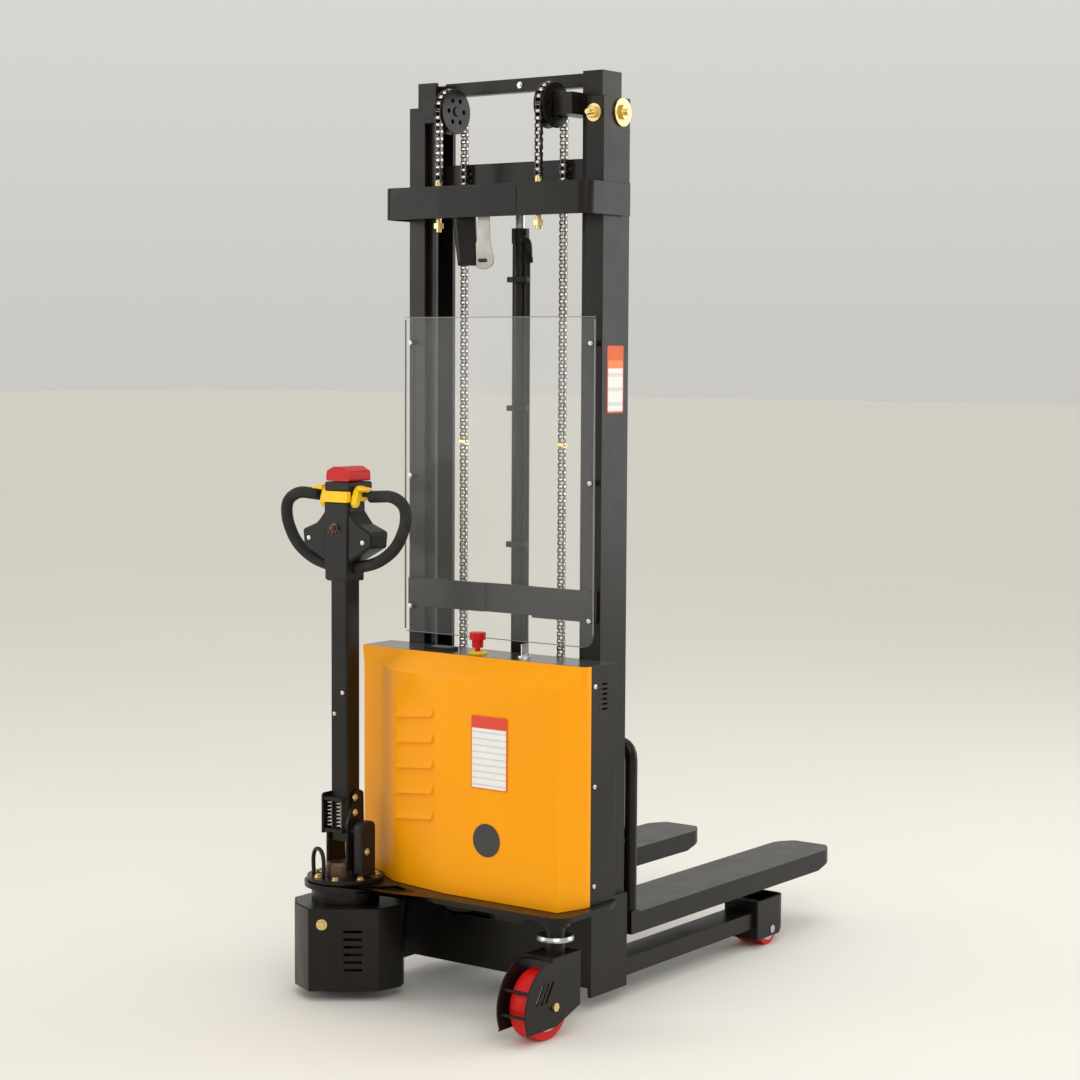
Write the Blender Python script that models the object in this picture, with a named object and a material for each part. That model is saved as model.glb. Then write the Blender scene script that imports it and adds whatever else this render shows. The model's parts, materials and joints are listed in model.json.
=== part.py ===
"""Walkie stacker: chassis with outriggers, two-stage mast, chain-lifted forks, tiller and caster.

Metres, +Z up, +Y toward the fork tips, +X to the right of a person walking behind the tiller.
Every shape is laid out from the rear face of the mast (y = 0) and its centre plane (x = 0); the
whole is then moved so that the origin is the middle of its footprint on the floor.
"""
import math

import bmesh
import bpy
from mathutils import Matrix, Vector

# ---------------------------------------------------------------- driving dimensions (metres)
MAST_HALF = 0.273          # half the outside width of the outer mast
MAST_DEPTH = 0.102         # fore-and-aft depth of an outer rail
OUTER_TOP = 2.020          # top of the outer mast
INNER_TOP = 2.077          # top of the inner mast, lowered
STROKE = 1.400             # lift of the inner mast; the forks rise twice this
PLATE_TOP = 0.257          # top of the base plate
COVER_HALF = 0.322         # half the width of the rear cover
COVER_TOP = 0.785          # top of the rear cover
COVER_REAR = 0.192         # main face of the cover behind the mast
FORK_LEN = 0.930           # fork blade, heel to tip
FORK_SPREAD = 0.556        # outside width over both forks
FORK_WIDTH = 0.158
FORK_THICK = 0.048
FORK_TOP = 0.192
LEG_LEN = 0.800            # outrigger, mast to the end of its roller box
LEG_WIDTH = 0.075
LEG_TOP = 0.092
LEG_THICK = 0.040
ROLLER_R = 0.040           # load rollers
CHAIN_X = 0.140            # chain runs either side of the centre
CHAIN_R = 0.047            # pitch radius on the chain wheel
ROD_R = 0.011              # piston rod
BARREL_R = 0.018
DRIVE_X, DRIVE_Y = -0.285, -0.213   # steering axis
DRIVE_R = 0.090            # drive wheel
DRIVE_W = 0.070
JOURNAL_R = 0.0615         # steering journal
CASTER_X, CASTER_Y = 0.305, -0.205  # swivel axis
CASTER_R = 0.075
CASTER_W = 0.050
TRAIL = 0.057
TILLER_TOP = 1.203         # top of the tiller head, upright
TILLER_PIVOT = 0.370
ARM_W, ARM_D = 0.050, 0.045
GRIP_HALF = 0.192          # half the width over the hand loops
GRIP_R = 0.0135
# clearances
GAP = 0.0004               # between neighbours that touch
RUN = 0.0010               # round a turning or sliding fit
SHEET = 0.003              # cover and housing sheet

PLATE_T = 0.012
FRONT_END = MAST_DEPTH + 0.036 + FORK_LEN
GUARD_REAR = TRAIL + CASTER_R + 0.025
REAR_END = min(CASTER_Y - GUARD_REAR, DRIVE_Y - 0.139)
SHIFT = Vector((-0.5 * (DRIVE_X - GRIP_HALF + CASTER_X + 0.047), -0.5 * (FRONT_END + REAR_END), 0.0))

for old in list(bpy.data.objects):
    bpy.data.objects.remove(old, do_unlink=True)

MATERIALS = {}


def material(name, rgb, metallic=0.0, roughness=0.5, alpha=1.0):
    mat = bpy.data.materials.new(name)
    mat.use_nodes = True
    bsdf = mat.node_tree.nodes["Principled BSDF"]
    bsdf.inputs["Base Color"].default_value = (*rgb, 1.0)
    bsdf.inputs["Metallic"].default_value = metallic
    bsdf.inputs["Roughness"].default_value = roughness
    bsdf.inputs["Alpha"].default_value = alpha
    MATERIALS[name] = mat


for spec in (("satin_black", (0.018, 0.016, 0.015), 0.0, 0.42), ("cover_yellow", (0.95, 0.42, 0.01), 0.0, 0.3),
             ("bright_steel", (0.55, 0.55, 0.55), 1.0, 0.28), ("zinc_yellow", (0.70, 0.50, 0.20), 1.0, 0.32),
             ("chain_steel", (0.16, 0.15, 0.14), 1.0, 0.4), ("clear_sheet", (0.80, 0.83, 0.83), 0.0, 0.08, 0.3),
             ("red_poly", (0.70, 0.01, 0.01), 0.0, 0.38), ("black_rubber", (0.02, 0.02, 0.02), 0.0, 0.7),
             ("black_plastic", (0.02, 0.02, 0.021), 0.0, 0.5), ("yellow_plastic", (0.95, 0.55, 0.01), 0.0, 0.35),
             ("iron_brown", (0.10, 0.06, 0.05), 0.6, 0.55), ("battery_grey", (0.09, 0.09, 0.10), 0.0, 0.6)):
    material(*spec)


# ---------------------------------------------------------------- solids
def box(x0, x1, y0, y1, z0, z1):
    bm = bmesh.new()
    bmesh.ops.create_cube(bm, size=1.0)
    for v in bm.verts:
        v.co = ((x0 + x1) / 2 + v.co.x * (x1 - x0), (y0 + y1) / 2 + v.co.y * (y1 - y0),
                (z0 + z1) / 2 + v.co.z * (z1 - z0))
    return bm


def loft(low, high):
    """Solid between two rings of equally many 3-D points."""
    bm = bmesh.new()
    a = [bm.verts.new(p) for p in low]
    b = [bm.verts.new(p) for p in high]
    n = len(a)
    bm.faces.new(a[::-1])
    bm.faces.new(b)
    for i in range(n):
        bm.faces.new((a[i], a[(i + 1) % n], b[(i + 1) % n], b[i]))
    bmesh.ops.recalc_face_normals(bm, faces=bm.faces)
    return bm


def prism(points, lo, hi, axis="Z"):
    """Outline of (x, y), (y, z) or (x, z) points extruded along Z, X or Y."""
    place = {"Z": lambda p, t: (p[0], p[1], t), "X": lambda p, t: (t, p[0], p[1]),
             "Y": lambda p, t: (p[0], t, p[1])}[axis]
    return loft([place(p, lo) for p in points], [place(p, hi) for p in points])


def circle(cx, cy, r, n=32, start=0.0, sweep=360.0):
    closed = sweep >= 360.0
    steps = n if closed else n + 1
    return [(cx + r * math.cos(math.radians(start + sweep * i / n)),
             cy + r * math.sin(math.radians(start + sweep * i / n))) for i in range(steps)]


def rod(axis, centre, r, lo, hi, n=32):
    return prism(circle(centre[0], centre[1], r, n), lo, hi, axis)


def rounded(points, radius, n=5):
    """Closed outline with every corner rounded, by one radius or a list of them."""
    out = []
    count = len(points)
    for i, p in enumerate(points):
        r = radius[i] if isinstance(radius, (list, tuple)) else radius
        p = Vector(p)
        a, b = Vector(points[i - 1]) - p, Vector(points[(i + 1) % count]) - p
        if r <= 0:
            out.append(tuple(p))
            continue
        half = a.angle(b) / 2
        cut = min(r / math.tan(half), 0.49 * a.length, 0.49 * b.length)
        s, e = p + a.normalized() * cut, p + b.normalized() * cut
        for k in range(n + 1):
            t = k / n
            out.append(tuple((1 - t) ** 2 * s + 2 * t * (1 - t) * p + t * t * e))
    return out


def pipe(path, r, n=12, bend=0.0, steps=5):
    """Round bar along a polyline, its inner corners bent on a radius."""
    pts = [Vector(path[0])]
    for i in range(1, len(path) - 1):
        p, a, b = Vector(path[i]), Vector(path[i - 1]), Vector(path[i + 1])
        cut = min(bend, 0.49 * (a - p).length, 0.49 * (b - p).length)
        s, e = p + (a - p).normalized() * cut, p + (b - p).normalized() * cut
        for k in range(steps + 1):
            t = k / steps
            pts.append((1 - t) ** 2 * s + 2 * t * (1 - t) * p + t * t * e)
    pts.append(Vector(path[-1]))
    bm = bmesh.new()
    rings = []
    side = None
    for i, p in enumerate(pts):
        d = (pts[min(i + 1, len(pts) - 1)] - pts[max(i - 1, 0)]).normalized()
        if side is None:
            side = d.orthogonal().normalized()
        side = (side - d * side.dot(d)).normalized()
        up = d.cross(side)
        rings.append([bm.verts.new(p + r * (math.cos(a) * side + math.sin(a) * up))
                      for a in (2 * math.pi * k / n for k in range(n))])
    for ra, rb in zip(rings, rings[1:]):
        for k in range(n):
            bm.faces.new((ra[k], ra[(k + 1) % n], rb[(k + 1) % n], rb[k]))
    bm.faces.new(rings[0][::-1])
    bm.faces.new(rings[-1])
    bmesh.ops.recalc_face_normals(bm, faces=bm.faces)
    return bm


def turned(bm, angle, axis, about):
    bmesh.ops.rotate(bm, verts=bm.verts, cent=about, matrix=Matrix.Rotation(math.radians(angle), 3, axis))
    return bm


def temporary(bm):
    mesh = bpy.data.meshes.new("temporary")
    bm.to_mesh(mesh)
    bm.free()
    obj = bpy.data.objects.new("temporary", mesh)
    bpy.context.collection.objects.link(obj)
    return obj


def piece(name, slot, adds, cuts=(), origin=(0.0, 0.0, 0.0)):
    """One named solid: the union of `adds` less every one of `cuts`."""
    base = temporary(adds[0])
    tools = []
    for mode, group in (("UNION", adds[1:]), ("DIFFERENCE", cuts)):
        for bm in group:
            tool = temporary(bm)
            tools.append(tool)
            mod = base.modifiers.new(mode, "BOOLEAN")
            mod.operation, mod.solver, mod.object = mode, "EXACT", tool
    if tools:
        bpy.context.view_layer.update()
        done = base.evaluated_get(bpy.context.evaluated_depsgraph_get())
        mesh = bpy.data.meshes.new_from_object(done)
        bpy.data.objects.remove(base, do_unlink=True)
        for tool in tools:
            bpy.data.objects.remove(tool, do_unlink=True)
    else:
        mesh = base.data
        bpy.data.objects.remove(base, do_unlink=True)
    bm = bmesh.new()
    bm.from_mesh(mesh)
    bmesh.ops.remove_doubles(bm, verts=bm.verts, dist=1e-6)
    bmesh.ops.dissolve_limit(bm, angle_limit=0.004, verts=bm.verts, edges=bm.edges)
    bmesh.ops.triangulate(bm, faces=bm.faces)
    bmesh.ops.translate(bm, verts=bm.verts, vec=-Vector(origin))
    bm.to_mesh(mesh)
    bm.free()
    mesh.name = name
    mesh.materials.clear()
    mesh.materials.append(MATERIALS[slot])
    obj = bpy.data.objects.new(name, mesh)
    obj.location = Vector(origin) + SHIFT
    bpy.context.collection.objects.link(obj)
    return obj


def sides():
    return (("l", -1.0), ("r", 1.0))


def span(s, a, b):
    """Two x values given for the right side, ordered for side s."""
    return (a, b) if s > 0 else (-b, -a)


# ---------------------------------------------------------------- chassis
UNDER = PLATE_TOP - PLATE_T
DECK = 2 * DRIVE_R + 0.0325           # top of the drive head, over the wheel
LEG_BOTTOM = LEG_TOP - LEG_THICK
LEG_OUT = MAST_HALF - 0.001
LEG_IN = LEG_OUT - LEG_WIDTH
SIDE_IN, SIDE_OUT = MAST_HALF + GAP, MAST_HALF + 0.009
PLATE_HALF = max(COVER_HALF + 0.020, CASTER_X + 0.040)
REAR_EDGE = min(-COVER_REAR - 0.040, CASTER_Y - 0.032)
PLATE_LEFT = DRIVE_X - 0.094
BULK_Y = -0.030
WINDOW = (-0.135, -0.005)


def plate_outline():
    """Base plate: straight front, rounded caster corner, round end about the steering axis."""
    right = rounded([(PLATE_HALF - 0.020, -0.004), (PLATE_HALF, -0.050), (PLATE_HALF, REAR_EDGE),
                     (0.0, REAR_EDGE - 0.004),
                     (DRIVE_X + 0.125, REAR_EDGE + 0.040)], [0, 0.02, 0.045, 0.05, 0.01])
    end = circle(DRIVE_X, DRIVE_Y, 0.094, 24, -38.0, -142.0)
    return right + end + [(PLATE_LEFT, -0.110), (-MAST_HALF - 0.055, -0.004)]


chassis = [prism(plate_outline(), UNDER, PLATE_TOP),
           box(-SIDE_OUT, SIDE_OUT, BULK_Y, BULK_Y + 0.012, LEG_BOTTOM, UNDER + 0.004),
           rod("Z", (DRIVE_X, DRIVE_Y), 0.078, DECK + 0.0005, UNDER + 0.004),
           box(0.12, 0.19, REAR_EDGE + 0.06, BULK_Y + 0.004, UNDER - 0.030, UNDER + 0.004),
           box(-LEG_IN + 0.001, LEG_IN - 0.001, BULK_Y, 0.010, LEG_BOTTOM, LEG_TOP - 0.004)]
for _, s in sides():
    x0, x1 = span(s, SIDE_IN, SIDE_OUT)
    chassis.append(box(x0, x1, BULK_Y, MAST_DEPTH, LEG_BOTTOM - 0.018, UNDER + 0.004))
    inner = LEG_IN + 0.010
    gusset = [(SIDE_OUT, UNDER + 0.004), (SIDE_OUT, LEG_BOTTOM - 0.018), (SIDE_OUT - 0.008, LEG_BOTTOM - 0.018)]
    gusset += [(SIDE_OUT - 0.010 - (SIDE_OUT - 0.010 - inner) * (1 - math.cos(t * math.pi / 16)),
                LEG_BOTTOM + (UNDER + 0.004 - LEG_BOTTOM) * math.sin(t * math.pi / 16)) for t in range(9)]
    chassis.append(prism([(s * x, z) for x, z in gusset], BULK_Y - 0.008, BULK_Y + 0.006, "Y"))
piece("chassis_frame", "satin_black", chassis,
      [rod("Z", (DRIVE_X, DRIVE_Y), JOURNAL_R + RUN, 0.15, 0.30, 48),
       box(*WINDOW, BULK_Y - 0.02, BULK_Y + 0.03, 0.165, 0.233),
       rod("Z", (-0.115, -0.065), 0.013, UNDER - 0.02, PLATE_TOP + 0.02, 20)])

ROLLER_Y = LEG_LEN - 0.062
for tag, s in sides():
    x0, x1 = span(s, LEG_IN, LEG_OUT)
    bx0, bx1 = span(s, LEG_IN - 0.010, LEG_OUT + 0.012)
    rim = rounded([(bx0, ROLLER_Y - 0.070), (bx1, ROLLER_Y - 0.070), (bx1, LEG_LEN), (bx0, LEG_LEN)],
                  [0.004, 0.004, 0.030, 0.030])
    chamfer = prism([(LEG_LEN - 0.055, 0.0), (LEG_LEN + 0.01, 0.0), (LEG_LEN + 0.01, 0.060)],
                    bx0 - 0.01, bx1 + 0.01, "X")
    piece("outrigger_" + tag, "satin_black",
          [box(x0, x1, BULK_Y + 0.0125, ROLLER_Y - 0.060, LEG_BOTTOM, LEG_TOP), prism(rim, 0.024, 0.119)],
          [box(bx0 + 0.009, bx1 - 0.009, ROLLER_Y - ROLLER_R - 0.006, LEG_LEN - 0.009, 0.0, 0.2),
           rod("X", (ROLLER_Y, ROLLER_R), 0.0104, bx0 - 0.01, bx1 + 0.01, 20), chamfer])
    piece("load_axle_" + tag, "bright_steel",
          [rod("X", (ROLLER_Y, ROLLER_R), 0.010, bx0 - 0.002, bx1 + 0.002, 20)])
    piece("load_roller_" + tag, "red_poly",
          [rod("X", (ROLLER_Y, ROLLER_R), ROLLER_R, bx0 + 0.012, bx1 - 0.012, 40),
           rod("X", (ROLLER_Y, ROLLER_R), 0.016, bx0 + 0.0096, bx1 - 0.0096, 24)],
          [rod("X", (ROLLER_Y, ROLLER_R), 0.0105, bx0, bx1, 20)], (s * (LEG_IN + LEG_OUT) / 2, ROLLER_Y, ROLLER_R))

# ---------------------------------------------------------------- outer mast
WEB, FLANGE, REACH = 0.008, 0.010, 0.046
RAIL_IN = MAST_HALF - REACH
IN_OUT = MAST_HALF - WEB - 0.006           # outer face of an inner rail
IN_IN = IN_OUT - 0.052
IN_Y0, IN_Y1 = FLANGE + 0.004, MAST_DEPTH - FLANGE - 0.004
BEAM_Z0, BEAM_Z1 = OUTER_TOP - 0.258, OUTER_TOP - 0.186
BEAM_X, BEAM_Y = MAST_HALF + 0.014, -0.078
BEAM_END = MAST_DEPTH - 0.017
TIE_Z = 0.905
CYL_Y = 0.064
GUIDE_Y, GUIDE_Z = {"l": 0.040, "r": 0.068}, OUTER_TOP - 0.032
ANCHOR_Y = -0.057


def channel(s, outer, inner, y0, y1, web, flange):
    pts = [(outer, y0), (outer, y1), (inner, y1), (inner, y1 - flange), (outer - web, y1 - flange),
           (outer - web, y0 + flange), (inner, y0 + flange), (inner, y0)]
    return [(s * x, y) for x, y in pts]


for tag, s in sides():
    x0, x1 = span(s, MAST_HALF - 0.02, MAST_HALF + 0.02)
    piece("mast_outer_" + tag, "satin_black",
          [prism(channel(s, MAST_HALF, RAIL_IN, 0.0, MAST_DEPTH, WEB, FLANGE), LEG_TOP + GAP, OUTER_TOP)],
          [rod("X", (GUIDE_Y[tag], GUIDE_Z), 0.0082, x0, x1, 20)])
    y, z = GUIDE_Y[tag], GUIDE_Z
    a, b = span(s, MAST_HALF - WEB - 0.005, MAST_HALF + 0.020)
    c, d = span(s, MAST_HALF + GAP, MAST_HALF + 0.005)
    e, f = span(s, MAST_HALF + 0.004, MAST_HALF + 0.013)
    g, h = span(s, MAST_HALF - WEB - 0.005, MAST_HALF - WEB - GAP)
    piece("guide_stud_" + tag, "zinc_yellow",
          [rod("X", (y, z), 0.0078, a, b, 20), rod("X", (y, z), 0.031, c, d, 32),
           rod("X", (y, z), 0.0185, e, f, 6), rod("X", (y, z), 0.016, g, h, 24)])


shelf = []
for _, s in sides():
    shelf.append(box(*span(s, MAST_HALF + GAP, BEAM_X - 0.004), 0.020, 0.055, BEAM_Z0, BEAM_Z1))
    shelf.append(box(*span(s, CHAIN_X - 0.030, CHAIN_X + 0.030), BEAM_Y + 0.004, -0.020, BEAM_Z1 - 0.030,
                     BEAM_Z1 - 0.018))
def u_plate():
    """The bent plate of the upper beam, as one closed outline 6 mm thick."""
    outer = rounded([(BEAM_X, BEAM_END), (BEAM_X, BEAM_Y), (-BEAM_X, BEAM_Y), (-BEAM_X, BEAM_END)],
                    [0, 0.028, 0.028, 0])
    w, y = BEAM_X - 0.006, BEAM_Y + 0.006
    inner = rounded([(-w, BEAM_END), (-w, y), (w, y), (w, BEAM_END)], [0, 0.022, 0.022, 0])
    return prism(outer + inner, BEAM_Z0, BEAM_Z1)


piece("upper_beam", "satin_black", [u_plate()] + shelf,
      [rod("Z", (s * CHAIN_X, ANCHOR_Y), 0.0064, BEAM_Z0, BEAM_Z1 + 0.02, 20) for _, s in sides()])

STUD_TOP = BEAM_Z1 + 0.012
for tag, s in sides():
    at = (s * CHAIN_X, ANCHOR_Y)
    piece("chain_anchor_" + tag, "zinc_yellow",
          [rod("Z", at, 0.006, BEAM_Z0 - 0.030, STUD_TOP, 20),
           rod("Z", at, 0.0115, BEAM_Z1 - 0.018 + GAP, BEAM_Z1 - 0.008, 6),
           rod("Z", at, 0.0115, BEAM_Z0 - 0.022, BEAM_Z0 - 0.010, 6),
           rod("Z", at, 0.0085, BEAM_Z1 - 0.012, STUD_TOP, 20)])

piece("mast_tie", "satin_black",
      [box(-RAIL_IN - 0.040, -0.040, -0.0105, -GAP, TIE_Z - 0.033, TIE_Z + 0.033),
       box(-0.060, 0.098, -0.0105, 0.004, TIE_Z - 0.033, TIE_Z + 0.033),
       box(0.090, RAIL_IN + 0.040, -0.0105, -GAP, TIE_Z - 0.037, TIE_Z + 0.033)],
      [box(-0.042, 0.092, -0.020, -0.004, TIE_Z - 0.05, TIE_Z + 0.05)])

GUARD_Z0, GUARD_Z1, GUARD_Y = 0.812, 1.542, -0.0165
SCREW_X = MAST_HALF - 0.018
SCREW_Z = (0.872, 1.176, 1.483)
guard = rounded([(-MAST_HALF, GUARD_Z0), (MAST_HALF - 0.008, GUARD_Z0), (MAST_HALF - 0.008, GUARD_Z1),
                 (-MAST_HALF, GUARD_Z1)], [0.006, 0.028, 0.006, 0.006])
piece("guard_screen", "clear_sheet", [prism(guard, GUARD_Y, GUARD_Y + 0.004, "Y")],
      [rod("Y", (s * SCREW_X, z), 0.0035, GUARD_Y - 0.01, GUARD_Y + 0.01, 12)
       for _, s in sides() for z in SCREW_Z])

# ---------------------------------------------------------------- hydraulics
BARREL_TOP = BEAM_Z0 - 0.020
MID_Z = OUTER_TOP - 0.190
piece("lift_cylinder", "satin_black",
      [rod("Z", (0, CYL_Y), BARREL_R, LEG_BOTTOM + 0.012, BARREL_TOP, 32),
       rod("Z", (0, CYL_Y), BARREL_R + 0.002, BARREL_TOP - 0.034, BARREL_TOP, 32),
       box(-0.030, 0.030, 0.012, CYL_Y + 0.018, LEG_BOTTOM, LEG_BOTTOM + 0.014)],
      [rod("Z", (0, CYL_Y), ROD_R + RUN, LEG_BOTTOM + 0.030, BARREL_TOP + 0.02, 32)])
piece("piston_rod", "bright_steel", [rod("Z", (0, CYL_Y), ROD_R, BARREL_TOP - STROKE - 0.120, MID_Z - GAP, 32)],
      origin=(0, CYL_Y, MID_Z))
FEED_X = BARREL_R + 0.011
piece("feed_pipe", "satin_black",
      [pipe([(FEED_X, CYL_Y - 0.012, 0.270), (FEED_X, CYL_Y - 0.012, BARREL_TOP - 0.045),
             (FEED_X - 0.007, CYL_Y - 0.004, BARREL_TOP - 0.030)], 0.007, 12, 0.010),
       rod("Z", (FEED_X, CYL_Y - 0.012), 0.011, BARREL_TOP - 0.075, BARREL_TOP - 0.055, 6)],
      [rod("Z", (0, CYL_Y), BARREL_R + 0.004 + GAP, BARREL_TOP - 0.2, BARREL_TOP + 0.02, 32)])
piece("feed_hose", "black_rubber",
      [pipe([(-0.115, -0.065, PLATE_TOP + 0.025), (-0.115, -0.065, 0.190), (-0.060, -0.045, 0.186),
             (-0.030, 0.000, 0.200), (FEED_X - 0.010, 0.030, 0.215),
             (FEED_X, CYL_Y - 0.012, 0.235), (FEED_X, CYL_Y - 0.012, 0.270 - GAP)], 0.0085, 12, 0.030)])

# ---------------------------------------------------------------- inner mast and its chain wheels
WHEEL_Z = INNER_TOP - CHAIN_R - 0.025
WHEEL_Y = ANCHOR_Y + CHAIN_R
FRONT_RUN = WHEEL_Y + CHAIN_R
inner = [prism(channel(s, IN_OUT, IN_IN, IN_Y0, IN_Y1, WEB, FLANGE), LEG_TOP + 0.008, INNER_TOP)
         for _, s in sides()]
inner += [box(-IN_IN - 0.002, IN_IN + 0.002, 0.052, 0.078, INNER_TOP - 0.030, INNER_TOP),
          box(-IN_IN - 0.002, IN_IN + 0.002, FRONT_RUN + 0.011, IN_Y1, MID_Z, MID_Z + 0.060),
          box(-IN_IN - 0.002, IN_IN + 0.002, IN_Y0, 0.040, LEG_TOP + 0.010, LEG_TOP + 0.070)]
for _, s in sides():
    inner.append(box(*span(s, CHAIN_X + 0.020, IN_IN + 0.002), WHEEL_Y - 0.020, IN_Y1 - 0.02,
                     WHEEL_Z - 0.024, WHEEL_Z + 0.024))
    inner.append(rod("X", (WHEEL_Y, WHEEL_Z), 0.010, *span(s, CHAIN_X - 0.016, CHAIN_X + 0.024), 20))
piece("mast_inner", "satin_black", inner, origin=(0, CYL_Y, MID_Z))
for tag, s in sides():
    x0, x1 = s * CHAIN_X - 0.013, s * CHAIN_X + 0.013
    piece("chain_wheel_" + tag, "satin_black",
          [rod("X", (WHEEL_Y, WHEEL_Z), CHAIN_R - 0.0075, x0 + 0.0025, x1 - 0.0025, 32),
           rod("X", (WHEEL_Y, WHEEL_Z), CHAIN_R + 0.004, x0, x0 + 0.0028, 32),
           rod("X", (WHEEL_Y, WHEEL_Z), CHAIN_R + 0.004, x1 - 0.0028, x1, 32),
           rod("X", (WHEEL_Y, WHEEL_Z), 0.018, x0 + 0.001, x1 - 0.001, 24)],
          [rod("X", (WHEEL_Y, WHEEL_Z), 0.0106, x0 - 0.01, x1 + 0.01, 20)]
          + [rod("X", (WHEEL_Y + 0.027 * math.cos(a), WHEEL_Z + 0.027 * math.sin(a)), 0.005, x0 - 0.01, x1 + 0.01, 8)
             for a in (math.pi * k / 3 for k in range(6))], (s * CHAIN_X, WHEEL_Y, WHEEL_Z))

CH_W, CH_T = 0.0085, 0.0072
CARRIAGE_TOP = 0.400


def strand(x, y, z0, z1):
    """A chain run seen as its side plates: wide at every pin and waisted between."""
    count = max(3, round((z1 - z0) / 0.022))
    half = (z1 - z0) / count / 2
    profile = []
    for i in range(2 * count + 1):
        w = CH_T if i % 2 else CH_T * 0.62
        profile.append((y + w, z0 + i * half))
    back = [(2 * y - a, b) for a, b in reversed(profile)]
    return prism(profile + back, x - CH_W, x + CH_W, "X")


for tag, s in sides():
    x = s * CHAIN_X
    piece("chain_rear_" + tag, "chain_steel", [strand(x, ANCHOR_Y, STUD_TOP + GAP, WHEEL_Z - GAP)],
          origin=(x, ANCHOR_Y, STUD_TOP + GAP))
    piece("chain_front_" + tag, "chain_steel",
          [strand(x, FRONT_RUN, CARRIAGE_TOP + GAP, WHEEL_Z - GAP)], origin=(x, FRONT_RUN, WHEEL_Z))
    arc = []
    for i in range(25):
        w = CH_T if i % 2 else CH_T * 0.62
        arc.append((math.pi * i / 24, w))
    ring = [(WHEEL_Y + (CHAIN_R + w) * math.cos(a), WHEEL_Z + (CHAIN_R + w) * math.sin(a)) for a, w in arc]
    ring += [(WHEEL_Y + (CHAIN_R - w) * math.cos(a), WHEEL_Z + (CHAIN_R - w) * math.sin(a))
             for a, w in reversed(arc)]
    piece("chain_wrap_" + tag, "chain_steel", [prism(ring, x - CH_W, x + CH_W, "X")],
          origin=(x, WHEEL_Y, WHEEL_Z))

# ---------------------------------------------------------------- carriage, forks and backrest
FACE_Y = MAST_DEPTH + 0.012
HEEL_Y = FACE_Y + 0.024
carriage = [box(-FORK_SPREAD / 2 + 0.02, FORK_SPREAD / 2 - 0.02, FACE_Y, FACE_Y + 0.012, z, z + 0.060)
            for z in (FORK_TOP - 0.020, CARRIAGE_TOP - 0.110)]
for _, s in sides():
    carriage.append(box(*span(s, CHAIN_X - 0.008, CHAIN_X + 0.008), FRONT_RUN - 0.013, FACE_Y + 0.004,
                        LEG_TOP + 0.078, CARRIAGE_TOP))
    for z in (0.215, 0.345):
        carriage.append(rod("X", (IN_Y0 + FLANGE + 0.0265, z), 0.0255,
                            *span(s, CHAIN_X + 0.004, IN_OUT - WEB - 0.003), 28))
piece("carriage", "satin_black", carriage, origin=(0, FACE_Y, FORK_TOP))


def fork(s):
    x1, x0 = FORK_SPREAD / 2, FORK_SPREAD / 2 - FORK_WIDTH
    tip = HEEL_Y + FORK_LEN
    plan = rounded([(x0, HEEL_Y), (x1, HEEL_Y), (x1, tip - 0.045), (x1 - 0.030, tip), (x0 + 0.030, tip),
                    (x0, tip - 0.045)], [0, 0, 0.05, 0.02, 0.02, 0.05])
    blade = prism([(s * x, y) for x, y in plan], FORK_TOP - FORK_THICK, FORK_TOP)
    heel = box(*span(s, x0, x1), HEEL_Y - 0.0116, HEEL_Y + 0.020, FORK_TOP - FORK_THICK, FORK_TOP + 0.006)
    post = box(*span(s, x0 + 0.030, x1 - 0.040), HEEL_Y - 0.0116, HEEL_Y + 0.014, FORK_TOP - 0.010,
               CARRIAGE_TOP - 0.050)
    under = box(*span(s, x0 + 0.006, x1 - 0.006), HEEL_Y + 0.03, tip - 0.12, FORK_TOP - FORK_THICK - 0.01,
                FORK_TOP - 0.008)
    slope = prism([(tip - 0.10, FORK_TOP - FORK_THICK - 0.002), (tip + 0.01, FORK_TOP - FORK_THICK - 0.002),
                   (tip + 0.01, FORK_TOP - 0.020)], -1.0, 1.0, "X")
    return [blade, heel, post], [under, slope]


for tag, s in sides():
    piece("fork_" + tag, "satin_black", *fork(s), origin=(0, FACE_Y, FORK_TOP))

BACK_X, BACK_Z = FORK_SPREAD / 2 - 0.016, 0.580
BACK_Y = FACE_Y + 0.029
backrest = [pipe([(-BACK_X, BACK_Y, FORK_TOP + 0.0075), (-BACK_X, BACK_Y, BACK_Z), (BACK_X, BACK_Y, BACK_Z),
                  (BACK_X, BACK_Y, FORK_TOP + 0.0075)], 0.0145, 16, 0.040),
            box(-BACK_X, BACK_X, BACK_Y - 0.010, BACK_Y + 0.004, 0.360, 0.384)]
backrest += [box(x - 0.008, x + 0.008, BACK_Y - 0.010, BACK_Y + 0.004, 0.370, BACK_Z) for x in (-0.09, 0.09)]
piece("backrest", "satin_black", backrest, origin=(0, FACE_Y, FORK_TOP))

# ---------------------------------------------------------------- covers
JOIN_Y = -0.100
BEVEL_Z = COVER_TOP - 0.043
RISE = PLATE_TOP + GAP


def cover_plan(t, top=False):
    """Outline of the rear cover, inset by t; the top ring is drawn in toward the mast."""
    w, y = COVER_HALF - t, COVER_REAR - t
    if top:
        y = COVER_REAR - 0.070 - t
        ring = [(-w, JOIN_Y), (-w, -y + 0.012), (-0.240, -y + 0.006), (-0.180, -y + 0.002), (-0.010, -y),
                (w - 0.012, -y), (w, -y + 0.008), (w, JOIN_Y)]
    else:
        ring = [(-w, JOIN_Y), (-w, -y + 0.088), (-0.240 + t * 0.4, -y + 0.060), (-0.182 + t * 0.1, -y + 0.026),
                (-0.010, -y - 0.002), (w - 0.022, -y), (w, -y + 0.070), (w, JOIN_Y)]
    return ring


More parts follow.
